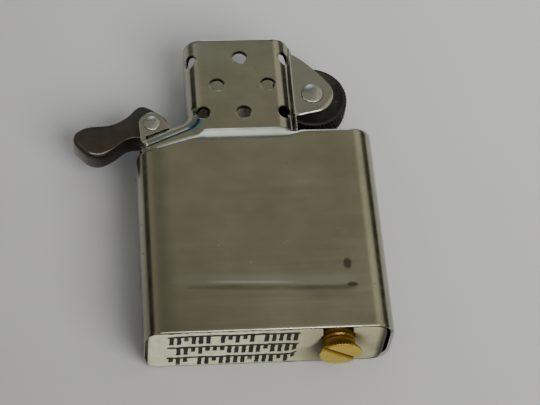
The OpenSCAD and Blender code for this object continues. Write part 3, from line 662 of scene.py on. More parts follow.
def tank():
    """The tank's wall: its plan carried up from a rim that rolls in to the bent top rim, with the spring's
    slot left open in the narrow side by the cam."""
    narrow_steps, broad_steps, slot_end = 12, 80, 0.002
    foot_roll, foot_bright_reach, top_bright_reach, bend_lean = 0.14, 0.5, 0.45, 0.6
    corners, ways = tank_plan(0)
    plan, out, slot = [], [], []
    for k in range(4):
        a, b = corners[k - 1][-1], corners[k][0]
        open_here = k == 0
        share = np.linspace(0, 1, narrow_steps if k % 2 == 0 else broad_steps)[1:-1, None]
        share = np.concatenate([[[slot_end]], share, [[1 - slot_end]]]) if open_here else share
        plan += [a + (b - a) * share, corners[k]]
        out += [np.broadcast_to(ways[k][0], share.shape[:1] + (2,)), ways[k]]
        slot += [np.full(len(share), open_here), np.zeros(len(corners[k]), bool)]
    plan, out, slot = (np.concatenate(part) for part in (plan, out, slot))
    height, width, depth = (part[:, None] for part in rim_bend(plan[:, 0]))
    top = np.where(slot[:, None], SLOT_LOW, height) - FOOT
    foot = np.array([0, 0.05, 0.12, 0.2, 0.3, 0.42, 0.6])
    bend = np.linspace(3.0, 0, 25)
    middle = foot[-1] + (top - bend[0] - foot[-1]) * np.linspace(0, 1, 16)[1:-1]
    rise = np.concatenate([np.broadcast_to(foot, (len(plan), len(foot))), middle, top - bend], axis=1)
    roll = foot_roll * (1 - np.sqrt(1 - np.clip((foot[-1] - rise) / foot[-1], 0, 1) ** 2))
    lean = bend_lean * np.clip(1 - (top - rise) / width, 0, 1)
    bent_in = depth * (1 - np.sqrt(1 - lean ** 2)) / (1 - np.sqrt(1 - bend_lean ** 2))
    flat = plan[:, None] - out[:, None] * (roll + bent_in)[..., None]
    points = np.stack([flat[..., 0], FOOT + rise, flat[..., 1]], -1)
    # rim value that brightens the rolled foot and the bent top, partly by rubbing and partly as a painted
    # highlight
    rim = np.maximum(1 - rise / foot_bright_reach, 1 - (top - rise) / top_bright_reach).clip(0, 1)
    finished("tank_wall", grid(points, loop_u=True), TANK_STEEL, "tank", ["tank_shell"],
             thick=SHEET, bevel=0.08, attribute=("rim", rim.ravel()))


# Chimney

SLOPE = np.radians(24)
SHOULDER_TOP = np.array([WALL_X, DECK + 3.75])
SHOULDER_OUT = -np.array([np.cos(SLOPE), np.sin(SLOPE)])
SHOULDER_IN = np.array([np.sin(SLOPE), -np.cos(SLOPE)])
SHOULDER_END = 7.75 / np.cos(SLOPE)
NOOK_R = 2.0
NOOK = SHOULDER_TOP + NOOK_R * np.array([-1, 1 / np.tan(np.pi / 4 + SLOPE / 2)])
EDGE_ARC = EDGE_R * np.pi / 2
EDGE_GIRTH = EDGE_ARC + FRONT - EDGE_R - MID
NOTCH_X, NOTCH_W = -12.3, 2.12

BEND_OUT_R, BEND_IN_R = 3.0, 0.6
BEND = np.arccos(1 - (FRONT - EAR_Z) / (BEND_OUT_R + BEND_IN_R))
BEND_X = EAR_X - (BEND_OUT_R + BEND_IN_R) * np.sin(BEND)
EAR_FLAT_X = BEND_X + (BEND_OUT_R + BEND_IN_R) * BEND
SKIRT = 0.45

HOLE_R = 1.1
HOLES = [(-7.6, 21.0), (-1.25, 21.0), (5.15, 21.0), (-5.1, 26.15), (2.85, 26.15),
         (-9.4, 31.1), (-1.25, 31.3), (5.95, 31.3)]


def edge_depth(q):
    """Depth of flat points behind the chimney's outline, and the way in: from the wall above the nook, round
    the nook's centre, and square to the shoulder beyond it."""
    from_nook = q - NOOK
    far = np.linalg.norm(from_nook, axis=1)
    above = q[:, 1] >= NOOK[1]
    beyond = ~above & (from_nook @ SHOULDER_OUT > 0)
    below_shoulder = (q - SHOULDER_TOP) @ SHOULDER_IN
    depth = np.where(above, q[:, 0] - WALL_X, np.where(beyond, below_shoulder, far - NOOK_R))
    round_nook = np.where(beyond[:, None], SHOULDER_IN, from_nook / far[:, None])
    way = np.where(above[:, None], [1.0, 0.0], round_nook)
    return depth, way


def rolled_edge(over):
    """Depth and height of the sheet's rounded edge at a length over it: a quarter circle, then straight
    down."""
    turn = np.minimum(over / EDGE_R, np.pi / 2)
    depth = EDGE_R * (1 - np.sin(turn))
    return depth, FRONT - EDGE_R * (1 - np.cos(turn)) - np.maximum(0, over - EDGE_ARC)


def bent_sheet(q):
    """The chimney's sheet bent from flat points: over a quarter circle and down the side near its outline,
    and in an S to the wheel ears past the bend line."""
    depth, way = edge_depth(q)
    rolled, z = rolled_edge(np.clip((EDGE_R - depth) / EDGE_R, 0, 1) * EDGE_GIRTH)
    shift = np.where(depth < EDGE_R, rolled - depth, 0)
    x, y = (q + way * shift[:, None]).T
    past = np.maximum(0, q[:, 0] - BEND_X)
    first = np.minimum(past / BEND_OUT_R, BEND)
    second = np.clip((past - BEND_OUT_R * BEND) / BEND_IN_R, 0, BEND)
    rest = np.maximum(0, past - (BEND_OUT_R + BEND_IN_R) * BEND)
    back = BEND_IN_R * (np.sin(BEND) - np.sin(BEND - second))
    x = np.where(past > 0, BEND_X + BEND_OUT_R * np.sin(first) + back + rest, x)
    z = z - BEND_OUT_R * (1 - np.cos(first)) - BEND_IN_R * (np.cos(BEND - second) - np.cos(BEND))
    return np.stack([x, y, z], 1)


def unrolled(p):
    """Flat points of a hole whose points are given along the bent sheet."""
    depth, way = edge_depth(p)
    flat_depth = EDGE_R * (1 - (EDGE_R - depth) / EDGE_GIRTH)
    return p + way * np.where(depth < EDGE_R, flat_depth - depth, 0)[:, None]


def laid_flat(p):
    """Flat points of the sheet beyond the bend line whose places are given on the bent sheet."""
    x = p[:, 0] - BEND_X
    out = np.clip(x / BEND_OUT_R, 0, np.sin(BEND))
    back = np.clip((EAR_X - p[:, 0]) / BEND_IN_R, 0, np.sin(BEND))
    bends = BEND_OUT_R * np.arcsin(out) + BEND_IN_R * (BEND - np.arcsin(back))
    length = bends + np.maximum(0, p[:, 0] - EAR_X)
    return np.stack([BEND_X + np.where(x > 0, length, x), p[:, 1]], 1)


def wheel_side_outline():
    """The chimney's outline past its bend line, on the bent sheet: up to the ear, round it, in a bowed brow
    back to the bend, and round the top corner."""
    foot = np.array([EAR_X, DECK + 4.35])
    tip, brow_reach, brow_end = np.radians(35), 5.3, np.array([7.25, 33.0])
    top_x, top_r = EAR_X - 1.25, 1.3
    ear = ring(AXLE, EAR_R, 40, touch(foot, AXLE, EAR_R, 1), tip)
    bow = ear[-1] + brow_reach * np.array([-np.sin(tip), np.cos(tip)])
    t = np.linspace(0, 1, 14)[1:, None]
    brow = ear[-1] * (1 - t) ** 2 + 2 * bow * t * (1 - t) + brow_end * t ** 2
    top = ring((top_x, TOP - top_r), top_r, 10, 0.1, np.pi / 2)
    return np.concatenate([[[EAR_X, DECK - SKIRT], foot], ear, brow, top])


def chimney_outline():
    """Flat outline of the chimney's front: wall, nook, shoulder with the cam's notch, rim, ear and top."""
    low_end, behind_rim, end_depth = -14.6, 1.0, 2.7
    notch = EDGE_R * (1 - (EDGE_GIRTH - NOTCH_W) / EDGE_GIRTH)
    end = SHOULDER_TOP + SHOULDER_END * SHOULDER_OUT
    step = SHOULDER_TOP + (NOTCH_X - WALL_X) / SHOULDER_OUT[0] * SHOULDER_OUT
    low = np.arange(low_end + 0.1, BEND_X, 0.5)
    loop = np.concatenate([
        [[WALL_X, TOP], [WALL_X, NOOK[1]]],
        ring(NOOK, NOOK_R, 14, 0, SLOPE - np.pi / 2)[1:],
        [step, step + notch * SHOULDER_IN, end + notch * SHOULDER_IN, end + end_depth * SHOULDER_IN],
        [[low_end, rim_height(low_end) + 0.02]],
        np.stack([low, rim_height(low) - behind_rim], 1),
        [[BEND_X, DECK - SKIRT]],
        laid_flat(wheel_side_outline())])
    return even(loop, 0.3)


def chimney_filling():
    """Points over the flat sheet: rows along the rounded edge, columns through the S-bend, rows by the rim,
    and a plain field over the rest."""
    wall = np.stack([np.full(60, WALL_X), np.linspace(TOP, NOOK[1], 60)], 1)
    nook = ring(NOOK, NOOK_R, 16, 0, SLOPE - np.pi / 2)
    slope = nook[-1] + np.linspace(0.2, 7.05, 28)[:, None] * SHOULDER_OUT
    path = np.concatenate([wall, nook, slope])
    way = edge_depth(path + 1e-6 * np.array([1, -1]))[1]
    depths = EDGE_R * np.linspace(1, 0, 17)[:-1]
    edge = (path[:, None] + depths[:, None] * way[:, None]).reshape(-1, 2)
    first = np.linspace(0, BEND_OUT_R * BEND, 12)
    second = BEND_OUT_R * BEND + np.linspace(0, BEND_IN_R * BEND, 7)[1:]
    bends = BEND_X + np.concatenate([first, second])
    columns = crossed(bends, np.arange(DECK - 0.3, TOP, 0.55))
    heights = [-0.6, -0.2, 0, 0.15, 0.3, 0.45, 0.6, 0.75, 0.95, 1.2]
    rows = crossed(np.arange(-14.4, BEND_X, 0.45), heights)
    rows[:, 1] += rim_height(rows[:, 0])
    rows = rows[edge_depth(rows)[0] > EDGE_R + 0.1]
    field = lattice(WALL_X, AXLE[0] + EAR_R + 1, DECK, TOP, 0.7)
    free = (edge_depth(field)[0] > EDGE_R + 0.3) & (field[:, 1] > rim_height(field[:, 0]) + 1.4)
    free &= (field[:, 0] < BEND_X - 0.3) | (field[:, 0] > bends[-1] + 0.3)
    return np.concatenate([edge, columns, rows, field[free]])


def ear_drop(flat, outline):
    """How far the lower edge of the wheel's ear rolls down, near the outline and below the axle."""
    roll_w, drop, lean = 0.7, 0.34, 0.9
    on_ear = smooth(EAR_FLAT_X, EAR_FLAT_X + 0.4, flat[:, 0])
    lower = on_ear * smooth(AXLE[1] + 0.5, AXLE[1] - 2, flat[:, 1])
    near = (1 - distance(flat, [outline]) / roll_w).clip(0, 1)
    return lower * drop * (1 - np.sqrt(1 - (lean * near) ** 2))


def hole_glint_and_shade(flat, holes):
    """The rim value by the air holes: up to 1 below each hole, a painted glint, and down to -1 above it,
    painted shade."""
    reach, level = 0.25, 0.4
    centres = unrolled(np.array(HOLES))
    nearest = np.argmin(np.linalg.norm(flat[:, None] - centres, axis=-1), axis=1)
    # above each hole: painted shade; below it: a painted glint
    above = smooth(-level, level, flat[:, 1] - centres[nearest, 1])
    return (1 - distance(flat, holes) / reach).clip(0, 1) * (1 - 2 * above)


def front_panel():
    """The chimney's front, bent from its flat sheet, and its rim values."""
    outline = chimney_outline()
    holes = [unrolled(ring((0, 0), HOLE_R, 40) + [x, y]) for x, y in HOLES]
    collars = np.concatenate([ring((x, y), HOLE_R + gap, 40) for x, y in HOLES for gap in (0.14, 0.32)])
    filling = chimney_filling()
    filling = filling[distance(filling, [collars]) > 0.16]
    ear_edge = inset_rows(outline, (0.06, 0.13, 0.22, 0.34, 0.5, 0.7))
    ear_edge = ear_edge[ear_edge[:, 0] > EAR_FLAT_X]
    filling = np.concatenate([filling, unrolled(collars), ear_edge])
    flat, faces = sheet_patch(outline, holes, filling, 0.05)
    bent = bent_sheet(flat)
    bent[:, 2] -= ear_drop(flat, outline)
    return (bent, faces), hole_glint_and_shade(flat, holes)


def cam_ear():
    """A cam ear and its rim values: round over the rivet, rooted in the shoulder at the cam side, with a
    free tip that leaves a slit above the shoulder."""
    side_x, root_x, tip_x = PIVOT[0] - 1.8, PIVOT[0] - 1.1, PIVOT[0] + 2.7
    sunk, slit_end, slit, tip_h, bright_edge_reach = 0.45, 0.3, 0.1, 0.4, 0.2
    x = np.array([side_x, root_x, tip_x])
    side, root, foot = np.stack([x, SHOULDER_TOP[1] + (x - WALL_X) * np.tan(SLOPE)], 1)
    tip = foot + [0, tip_h]
    feet = [side - [0, sunk], root - [0, sunk], root + [0, slit_end], foot + [0, slit], tip]
    over = ring(PIVOT, CAM_EAR_R, 30, touch(tip, PIVOT, CAM_EAR_R, 1), np.pi)
    outline = even(np.concatenate([feet, over]), 0.3)
    filling = np.concatenate([inset_rows(outline, (0.15, 0.32)), lattice(-18, -12, 16, 23.5, 0.5)])
    flat, faces = sheet_patch(outline, [], filling, 0.12)
    # rim value that brightens the ear's edge all round, partly by rubbing and partly as a painted highlight
    rim = (1 - distance(flat, [outline]) / bright_edge_reach).clip(0, 1)
    return (np.column_stack([flat, np.full(len(flat), CAM_EAR_Z)]), faces), rim


def shoulder_cap():
    """Plate that closes the shoulder's end beside the cam, from the rounded edge down to a straight line."""
    depth, z = rolled_edge(np.linspace(0, EDGE_GIRTH - NOTCH_W, 14))
    end = SHOULDER_TOP + (SHOULDER_END - 0.02) * SHOULDER_OUT
    depths = np.stack([depth, np.full_like(depth, EDGE_R + 0.3)], 1)
    flat = end + depths[..., None] * SHOULDER_IN
    return grid(np.concatenate([flat, np.broadcast_to(z[:, None, None], flat.shape[:2] + (1,))], -1))


def deck_plate():
    """Flat plate across the tank's top with round holes for the wick and the flint tube."""
    low_x, below_panel, wick_r, tube_r = WALL_X - 1.2, 0.1, 2.0, 2.34
    corners, _ = tank_plan(SHEET + 0.05)
    cam_side = [[low_x, THICK - FRONT + below_panel], [low_x, FRONT - below_panel]]
    outline = even(np.concatenate([corners[1], corners[2], cam_side])[::-1], 0.8)
    holes = [ring((WICK_X, MID), wick_r, 40), ring((SCREW_X, MID), tube_r, 40)]
    verts, faces = sheet_patch(outline, holes, lattice(low_x, RIGHT, 0, THICK, 0.9), 0.4)
    return np.stack([verts[:, 0], np.full(len(verts), DECK), verts[:, 1]], 1), [f[::-1] for f in faces]


def chimney():
    """Windscreen, shoulder and ears on both faces, with the deck between them."""
    panel, panel_rim = front_panel()
    ear, ear_rim = cam_ear()
    cap, deck = shoulder_cap(), deck_plate()
    face = [panel, ear, cap]
    face_rim = np.concatenate([panel_rim, ear_rim, np.zeros(len(cap[0]))])
    patch = joined(*face, *(turned_over(part) for part in face), deck)
    rim = np.concatenate([face_rim, face_rim, np.zeros(len(deck[0]))])
    finished("chimney_sheet", patch, CHIMNEY_STEEL, "tank", ["chimney"],
             thick=SHEET, bevel=0.13, attribute=("rim", rim))


# Cam, wheel and rivets

CAM_POINTS = np.array([
    [12.15, -1.2], [11.65, 0.4], [10.75, 1.9], [9.1, 2.7], [6.8, 2], [4.4, 1.1], [2.6, 1.35],
    [1.2, 2.2], [-0.6, 2.5], [-2.2, 1.4], [-2.5, -0.5], [-1.7, -2], [-0.8, -3.2], [0.2, -4],
    [1.3, -3.85], [3.2, -2.8], [5.8, -2.3], [9.2, -3], [11.2, -2.65], [11.9, -2]])
CAM_OPEN = np.radians(197)
CAM_HALF = 1.9


def smooth_loop(p, steps):
    """Closed curve through points: cubic pieces with shared tangents."""
    a, b, c, d = (np.roll(p, k, axis=0)[:, None] for k in (1, 0, -1, -2))
    t = np.linspace(0, 1, steps, endpoint=False)[None, :, None]
    square, cube = 2 * a - 5 * b + 4 * c - d, 3 * b - a - 3 * c + d
    return ((2 * b + (c - a) * t + square * t ** 2 + cube * t ** 3) / 2).reshape(-1, 2)


def cam():
    """The cam's outline carried through its thickness, rounded at both faces, most at the worn free end."""
    least_r, worn_r = 0.2, 0.7
    loop = smooth_loop(CAM_POINTS, 9)
    free_end = smooth(6.5, 9.5, loop[:, :1]) * smooth(-2.4, 0.4, loop[:, 1:])
    round_r = least_r + worn_r * free_end
    quarter = np.linspace(0, np.pi / 2, 7)
    a = np.concatenate([quarter, quarter[::-1]])
    inset = round_r * (1 - np.sin(a))
    z = np.repeat([-1, 1], len(quarter)) * (CAM_HALF - round_r * (1 - np.cos(a)))
    flat = loop[:, None] + ways_in(loop)[:, None] * inset[..., None]
    cos, sin = np.cos(CAM_OPEN), np.sin(CAM_OPEN)
    flat = flat @ np.array([[cos, sin], [-sin, cos]]) + PIVOT
    points = np.concatenate([flat, MID + z[..., None]], -1)
    verts, faces = grid(points, loop_u=True)
    n, m = points.shape[:2]
    caps = [(np.arange(n) * m).tolist(), (np.arange(n) * m + m - 1).tolist()[::-1]]
    finished("cam_paddle", (verts, faces + caps), CAM_BRONZE, "cam", ["cam"], closed=True)


def wheel():
    """A ring whose rim is cut by two crossing sets of slanting grooves, with chamfers and a stepped side."""
    steps, teeth, half, big = 600, 60, 1.85, 5.6
    cut_depth, end_drop, end_w, lean = 0.3, 0.22, 0.35, 2.4
    side = np.array([[1.14, 1.7], [2.3, 1.7], [2.5, 1.55], [4.6, 1.55], [4.8, 1.8], [5.12, half]])
    z_rim = np.linspace(half - 0.12, -half + 0.12, 27)
    rim = np.stack([np.full(len(z_rim), big), z_rim], 1)
    profile = np.concatenate([side, rim, side[::-1] * [1, -1]])
    a = angles(steps)[:, None]
    r, z = profile.T
    slant = lean * z
    cut = np.abs(np.sin(teeth / 2 * a + slant)) * np.abs(np.sin(teeth / 2 * a - slant))
    on_rim = (r == big).astype(float)
    fade = 1 - smooth(half - end_w, half, np.abs(z))
    r = r - on_rim * (cut_depth * (1 - cut ** 0.8) * fade + end_drop * (1 - fade))
    z = np.broadcast_to(MID + z, r.shape)
    points = np.stack([AXLE[0] + r * np.cos(a), AXLE[1] + r * np.sin(a), z], -1)
    finished("wheel_toothed", grid(points, True, True), WHEEL_BLACK, "wheel", ["flint_wheel"],
             closed=True)


def rivet(name, centre, pin_r, head_r, ear_z, node):
    """A rivet turned round Z: a domed head with a short edge on each side of the ears, and its shank
    between."""
    dome_end, dome_low, dome_rise, edge_h = 0.94, 0.12, 0.12, 0.06
    s = np.linspace(0, dome_end, 14)
    dome = head_r * np.stack([s, dome_low + dome_rise * (1 - s ** 2)], 1)
    reach = ear_z - MID
    edge = [[head_r, reach + edge_h * head_r], [head_r, reach], [pin_r, reach]]
    upper = np.concatenate([dome + [0, reach], edge])
    profile = np.concatenate([upper, upper[::-1] * [1, -1]])
    turned = lathe(profile, (*centre, MID), "Z", 64)
    finished(name, turned, RIVET_STEEL, "tank", [node], closed=True)


# Flint works

def screw():
    """The brass screw: a slotted face in rows across the slot, a serrated flared rim, a cone, a thread and
    a stem."""
    face, neck, end, tip = -18.7, -17.35, -10.1, -7.1
    face_r, shank_r, tip_r, pitch, thread_deep = 2.95, 2.3, 0.66, 0.7, 0.12
    slot_half, slot_lip, slot_deep, slot_turn = 0.5, 0.53, 0.45, -np.radians(36)
    serrations, serration_deep = 44, 0.16
    cos, sin = np.cos(slot_turn), np.sin(slot_turn)

    def placed(u, v, y):
        """Points u along the slot and v across it, at a height y."""
        return np.stack([SCREW_X + u * cos - v * sin, y, MID + u * sin + v * cos], -1)

    psi = np.radians(np.linspace(-90, 90, 97))
    lips = [-slot_half, slot_half, -slot_lip, slot_lip]
    w = np.unique(np.concatenate([face_r * np.sin(psi), lips]))
    a = np.sqrt(np.maximum(0, face_r ** 2 - w ** 2))
    deep = np.where(np.abs(w) < (slot_half + slot_lip) / 2, slot_deep, 0.0)
    along = a[:, None] * np.linspace(-1, 1, 21)
    across = np.broadcast_to(w[:, None], along.shape)
    plate = grid(placed(along, across, np.broadcast_to(face + deep[:, None], along.shape)))

    u = np.concatenate([a, -a[-2:0:-1]])
    v = np.concatenate([w, w[-2:0:-1]])
    first = np.concatenate([deep, deep[-2:0:-1]])
    phi = np.arctan2(v, u)
    teeth = np.abs((phi * serrations / (2 * np.pi)) % 1 - 0.5) * 2
    flare = [(face_r, 0, 0), (3.08, 0.06, 0.2), (3.12, 0.14, 0.6), (3.12, 0.36, 1), (2.86, 0.62, 1),
             (2.5, 0.95, 0.6), (shank_r, neck - face, 0)]
    flare_shade_share = np.array([0.1, 0.2, 0.6, 1, 1, 1, 0.8])
    radius = np.stack([r - serration_deep * k * teeth for r, _, k in flare], 1)
    height = np.maximum(np.array([h for _, h, _ in flare]), first[:, None])
    side = placed(radius * np.cos(phi)[:, None], radius * np.sin(phi)[:, None], face + height)

    y = np.linspace(neck, end, 118)
    spin = angles(72)[:, None]
    ridge = np.abs(((y - spin * pitch / (2 * np.pi)) / pitch) % 1 - 0.5) * 2
    groove = ridge * smooth(neck, neck + 0.7, y) * (1 - smooth(end - 0.5, end, y))
    thread_r = shank_r - thread_deep * groove
    shank = placed(thread_r * np.cos(spin), thread_r * np.sin(spin), np.broadcast_to(y, thread_r.shape))
    stem = lathe([(shank_r, end), (tip_r, end + 0.05), (tip_r, tip - 0.1), (tip_r - 0.1, tip), (0, tip)],
                 SCREW_AXIS, "Y", 72)

    patch = joined(plate, grid(side, loop_u=True), grid(shank, loop_u=True), stem)
    # the deep value is painted shade: in the slot, on the flare's underside and serrations, and over the
    # whole shank, most in its thread's grooves
    in_slot = np.broadcast_to(deep[:, None] > 0, along.shape)
    on_flare = (0.5 + 0.5 * teeth[:, None]) * flare_shade_share
    on_shank = 0.75 + 0.2 * groove
    brown = np.concatenate([in_slot.ravel(), on_flare.ravel(), on_shank.ravel(), np.zeros(len(stem[0]))])
    finished("brass_screw", patch, BRASS, "flint_screw", ["flint_screw"], closed=True,
             attribute=("deep", brown))


def flint_works():
    """Tube with its socket, flint and plunger, each turned round the screw's axis with broken edges."""
    tube = [(1.375, 18.5), (1.45, 18.55), (2.2, 18.55), (2.3, 18.45), (2.3, -5.3), (2.9, -5.3), (3.0, -5.4),
            (3.0, -14.7), (2.9, -14.8), (2.44, -14.8), (2.34, -14.7), (2.34, -5.8), (1.375, -5.8),
            (1.375, 18.5)]
    flint = [(0, 19.63), (1.1, 19.63), (1.25, 19.5), (1.25, 14.75), (1.15, 14.63), (0, 14.63)]
    plunger = [(0, 14.61), (1.1, 14.61), (1.2, 14.51), (1.2, 11.55), (1.05, 11.41), (0, 11.41)]
    pieces = (("brass_tube", tube, BRASS, "tank", "flint_tube", "brass"),
              ("flint_stick", flint, FLINT_GREY, "flint", "flint", "flint_metal"),
              ("brass_plunger", plunger, BRASS, "flint", "flint_plunger", "brass"))
    for name, profile, metal, body, node, slot in pieces:
        finished(name, lathe(profile, SCREW_AXIS, "Y"), metal, body, [node], closed=True)


def spring():
    """A round wire carried along a helix whose ends close up, made as a lower and an upper half."""
    turns, wire, r = 15, 0.2, 1.0
    low, high = -10.08 + wire, 11.39 - wire
    closed_turns, closed_rise = 0.9, 0.02
    t = np.linspace(0, 1, turns * 26)
    open_part = np.clip((t * turns - closed_turns) / (turns - 2 * closed_turns), 0, 1)
    ends = smooth(0, 0.06, t) + smooth(0.94, 1, t)
    rise = open_part * (1 - 2 * closed_rise) + closed_rise * ends
    a = 2 * np.pi * turns * t
    path = np.stack([r * np.cos(a), low + (high - low) * rise, r * np.sin(a)], 1)
    way = np.gradient(path, axis=0)
    way /= np.linalg.norm(way, axis=1, keepdims=True)
    out = np.stack([np.cos(a), np.zeros_like(a), np.sin(a)], 1)
    up = np.cross(way, out)
    b = angles(10)
    points = path[:, None] + wire * (np.cos(b)[:, None] * out[:, None] + np.sin(b)[:, None] * up[:, None])
    points = points + SCREW_AXIS
    middle = len(path) // 2
    halves = (("spring_lower", points[:middle + 1], "flint_spring", low),
              ("spring_upper", points[middle:], "flint", high))
    for name, part, body, end in halves:
        verts, faces = grid(part, loop_v=True)
        caps = [list(range(len(b))), list(range(len(verts) - len(b), len(verts)))]
        piece = finished(name, (verts, faces + caps), SPRING_STEEL, None, ["flint_spring"],
                         closed=True)
        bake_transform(piece)


# Felt, wick and cotton

FELT_LOW, FELT_HIGH = np.array([-17.55, 0.25]), np.array([16.9, 10.6])
FELT_GAP, FELT_FRONT, FELT_BACK, FELT_INSET = 2.37, -17.07, -13.75, 0.62
DISH_R = np.array([FELT_GAP, 2.55, 2.75, 2.95, 3.16, 3.45, 3.8, 4.2, 4.7])
DISH_DEEP = np.array([1.34, 1.12, 0.93, 0.75, 0.55, 0.36, 0.2, 0.07, 0.0])


def felt_outline(axis):
    """Flat outline of the felt pad: rounded corners, and a notch down to a round gap for the screw."""
    left_r, right_r = 1.4, 2.2
    low, high = FELT_LOW, FELT_HIGH
    quarter = np.pi / 2
    return even(np.concatenate([
        ring(low + left_r, left_r, 8, np.pi, 3 * quarter),
        ring((high[0] - right_r, low[1] + right_r), right_r, 10, -quarter, 0),
        ring(high - right_r, right_r, 10, 0, quarter),
        axis + [[1.5, high[1] - MID], [1.75, 2.8]],
        ring(axis, FELT_GAP, 30, np.radians(32), -np.radians(190)),
        axis + [[-2.95, high[1] - MID]],
        ring((low[0] + left_r, high[1] - left_r), left_r, 8, quarter, np.pi)]), 0.4)


def felt_front(flat, outline, far):
    """Height of the felt's front along Y: swollen over the tank's rim, uneven, pressed in left of the screw,
    and dished round it, where the screw's head sinks in."""
    edge_drop, end_swell, press = 0.05, 0.06, 0.3
    x, z = flat.T
    below = smooth(0.15, -0.15, z - 3.05 - 0.3 * x)
    pressed = smooth(3.2, 4.0, x) * smooth(8.4, 7.2, x) * smooth(0.4, 1.2, z) * below
    edge = smooth(0.6, 0, distance(flat, [outline]))
    y = FELT_FRONT + edge_drop * edge - end_swell * smooth(-9, -17, x) + press * pressed
    rough = 0.04 * lumps(flat, 5.0, 3) + 0.025 * lumps(flat, 1.6, 4)
    return y + np.interp(far, DISH_R, DISH_DEEP) + rough * smooth(3.2, 4.2, far)


def pulled_in(flat, inset):
    """Flat points of the felt, those near the tank's wall drawn in to its plan less an inset."""
    core = np.clip(flat, [LEFT + CORNER_R, CORNER_R], [RIGHT - CORNER_R, THICK - CORNER_R])
    away = flat - core
    far = np.linalg.norm(away, axis=1, keepdims=True)
    return core + away * np.minimum(1, (CORNER_R - inset) / np.maximum(far, 1e-9))


def open_sides(faces, count):
    """Both ends of each side that only one face of a flat patch has."""
    ways = np.concatenate([faces[:, [0, 1]], faces[:, [1, 2]], faces[:, [2, 0]]])
    single = ~np.isin(ways[:, 0] * count + ways[:, 1], ways[:, 1] * count + ways[:, 0])
    return ways[single].T


def felt():
    """The felt pad: its front, a narrower flat back inside the tank, and sides that pass a neck behind the
    tank's rim."""
    tube_room, tube_slope, neck_y, neck_step = 3.6, 0.3, -16.99, 0.06
    axis = np.array([SCREW_X, MID])
    outline = felt_outline(axis)
    rings = np.concatenate([ring(axis, r, 64) for r in DISH_R[1:]])
    field = lattice(LEFT, RIGHT, 0, THICK, 0.5) + 0.03
    field = field[distance(field, [rings]) > 0.2]
    filling = np.concatenate([inset_rows(outline, (0.2, 0.45)), rings, field])
    flat, faces = sheet_patch(outline, [], filling, 0.15)
    from_axis = flat - axis
    far = np.linalg.norm(from_axis, axis=1)
    y = felt_front(flat, outline, far)
    front = np.stack([flat[:, 0], y, flat[:, 1]], 1)
    room = np.maximum(far, tube_room + tube_slope * (far - FELT_GAP)) / far
    behind = pulled_in(axis + from_axis * room[:, None], FELT_INSET)
    back = np.stack([behind[:, 0], np.full(len(flat), FELT_BACK), behind[:, 1]], 1)
    n, f = len(flat), np.array(faces)
    a, b = open_sides(f, n)
    rim = np.unique(a)
    narrow = pulled_in(flat[rim], FELT_INSET)
    neck_row = np.stack([narrow[:, 0], np.maximum(neck_y, y[rim] + neck_step), narrow[:, 1]], 1)
    neck = np.zeros(n, int)
    neck[rim] = 2 * n + np.arange(len(rim))
    sides = [np.stack([b, a, neck[a], neck[b]], 1), np.stack([neck[b], neck[a], a + n, b + n], 1)]
    solid = faces + (f[:, ::-1] + n).tolist() + np.concatenate(sides).tolist()
    points = np.concatenate([front, back, neck_row])
    piece = finished("felt_pad", (points, solid), FELT, None, ["felt_base", "felt_flap"],
                     weld=False, closed=True, attribute=("rest", points * MM))
    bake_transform(piece)


def wick():
    """A braid turned round the wick's axis: strands cross as two sets of helical waves, and the top is
    frayed. Its wire stands a little proud of it."""
    low, high, radius, bore, steps = -11.0, 25.0, 1.6, 0.45, 72
    strands, twist, relief_h, fray, narrowing, fluff = 6, 3.2, 0.1, 1.2, 0.12, 0.1
    wire_r, wire_top = 0.4, 25.5
    y = np.linspace(low, high - 0.25, 260)
    a = angles(steps)[:, None]
    r = radius + relief_h * np.cos(strands * a + twist * y) * np.cos(strands * a - twist * y)
    top = smooth(high - fray, high - 0.25, y)
    spots = np.stack(np.broadcast_arrays(2 * np.cos(a), 2 * np.sin(a), y), -1)
    r = r * (1 - narrowing * top) + fluff * top * lumps(spots, 1.0, 5)
    points = np.stack([r * np.cos(a), np.broadcast_to(y, r.shape), r * np.sin(a)], -1)
    lid_r = r[:, -1:] * np.array([0.8, 0.45])
    lid_y = np.broadcast_to([high - 0.05, high - 0.1], lid_r.shape)
    lid = np.stack([lid_r * np.cos(a), lid_y, lid_r * np.sin(a)], -1)
    base = np.stack([bore * np.cos(a), np.full((steps, 1), low), bore * np.sin(a)], -1)
    points = np.concatenate([base, points, lid], axis=1) + WICK_AXIS
    finished("wick_braid", grid(points, True, True), BRAID, "tank", ["wick"], closed=True)
    wire = [(0, low), (wire_r, low), (wire_r, wire_top - 0.15), (wire_r - 0.1, wire_top), (0, wire_top)]
    finished("wick_wire", lathe(wire, WICK_AXIS, "Y", 32), COPPER_WIRE, "tank", ["wick_core"],
             closed=True)


def cotton():
    """Wads of cotton: a rounded box form in polar angles, uneven by two sizes of lumps, in each one's
    room."""
    u, v = np.meshgrid(np.linspace(-np.pi / 2, np.pi / 2, 40), angles(64), indexing="ij")
    boxy, boxy_round = 0.6, 0.8

    def power(x, k):
        """A power of x that keeps its sign."""
        return np.sign(x) * np.abs(x) ** k

    level = power(np.cos(u), boxy)
    ball = np.stack([level * power(np.cos(v), boxy_round), level * power(np.sin(v), boxy_round),
                     power(np.sin(u), boxy)], -1)
    for k in range(1, 6):
        low, high = (np.array(c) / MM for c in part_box(f"packing_{k}"))
        wad = ball * (high - low) / 2
        swell = 0.93 + 0.045 * lumps(wad + 20 * k, 5.0, 10 + k) + 0.02 * lumps(wad, 1.3, 20 + k)
        points = (low + high) / 2 + wad * np.minimum(swell, 1.0)[..., None]
        piece = finished(f"cotton_wad_{k}", grid(points, loop_v=True), COTTON, "tank", [f"packing_{k}"],
                         closed=True)


# Stage

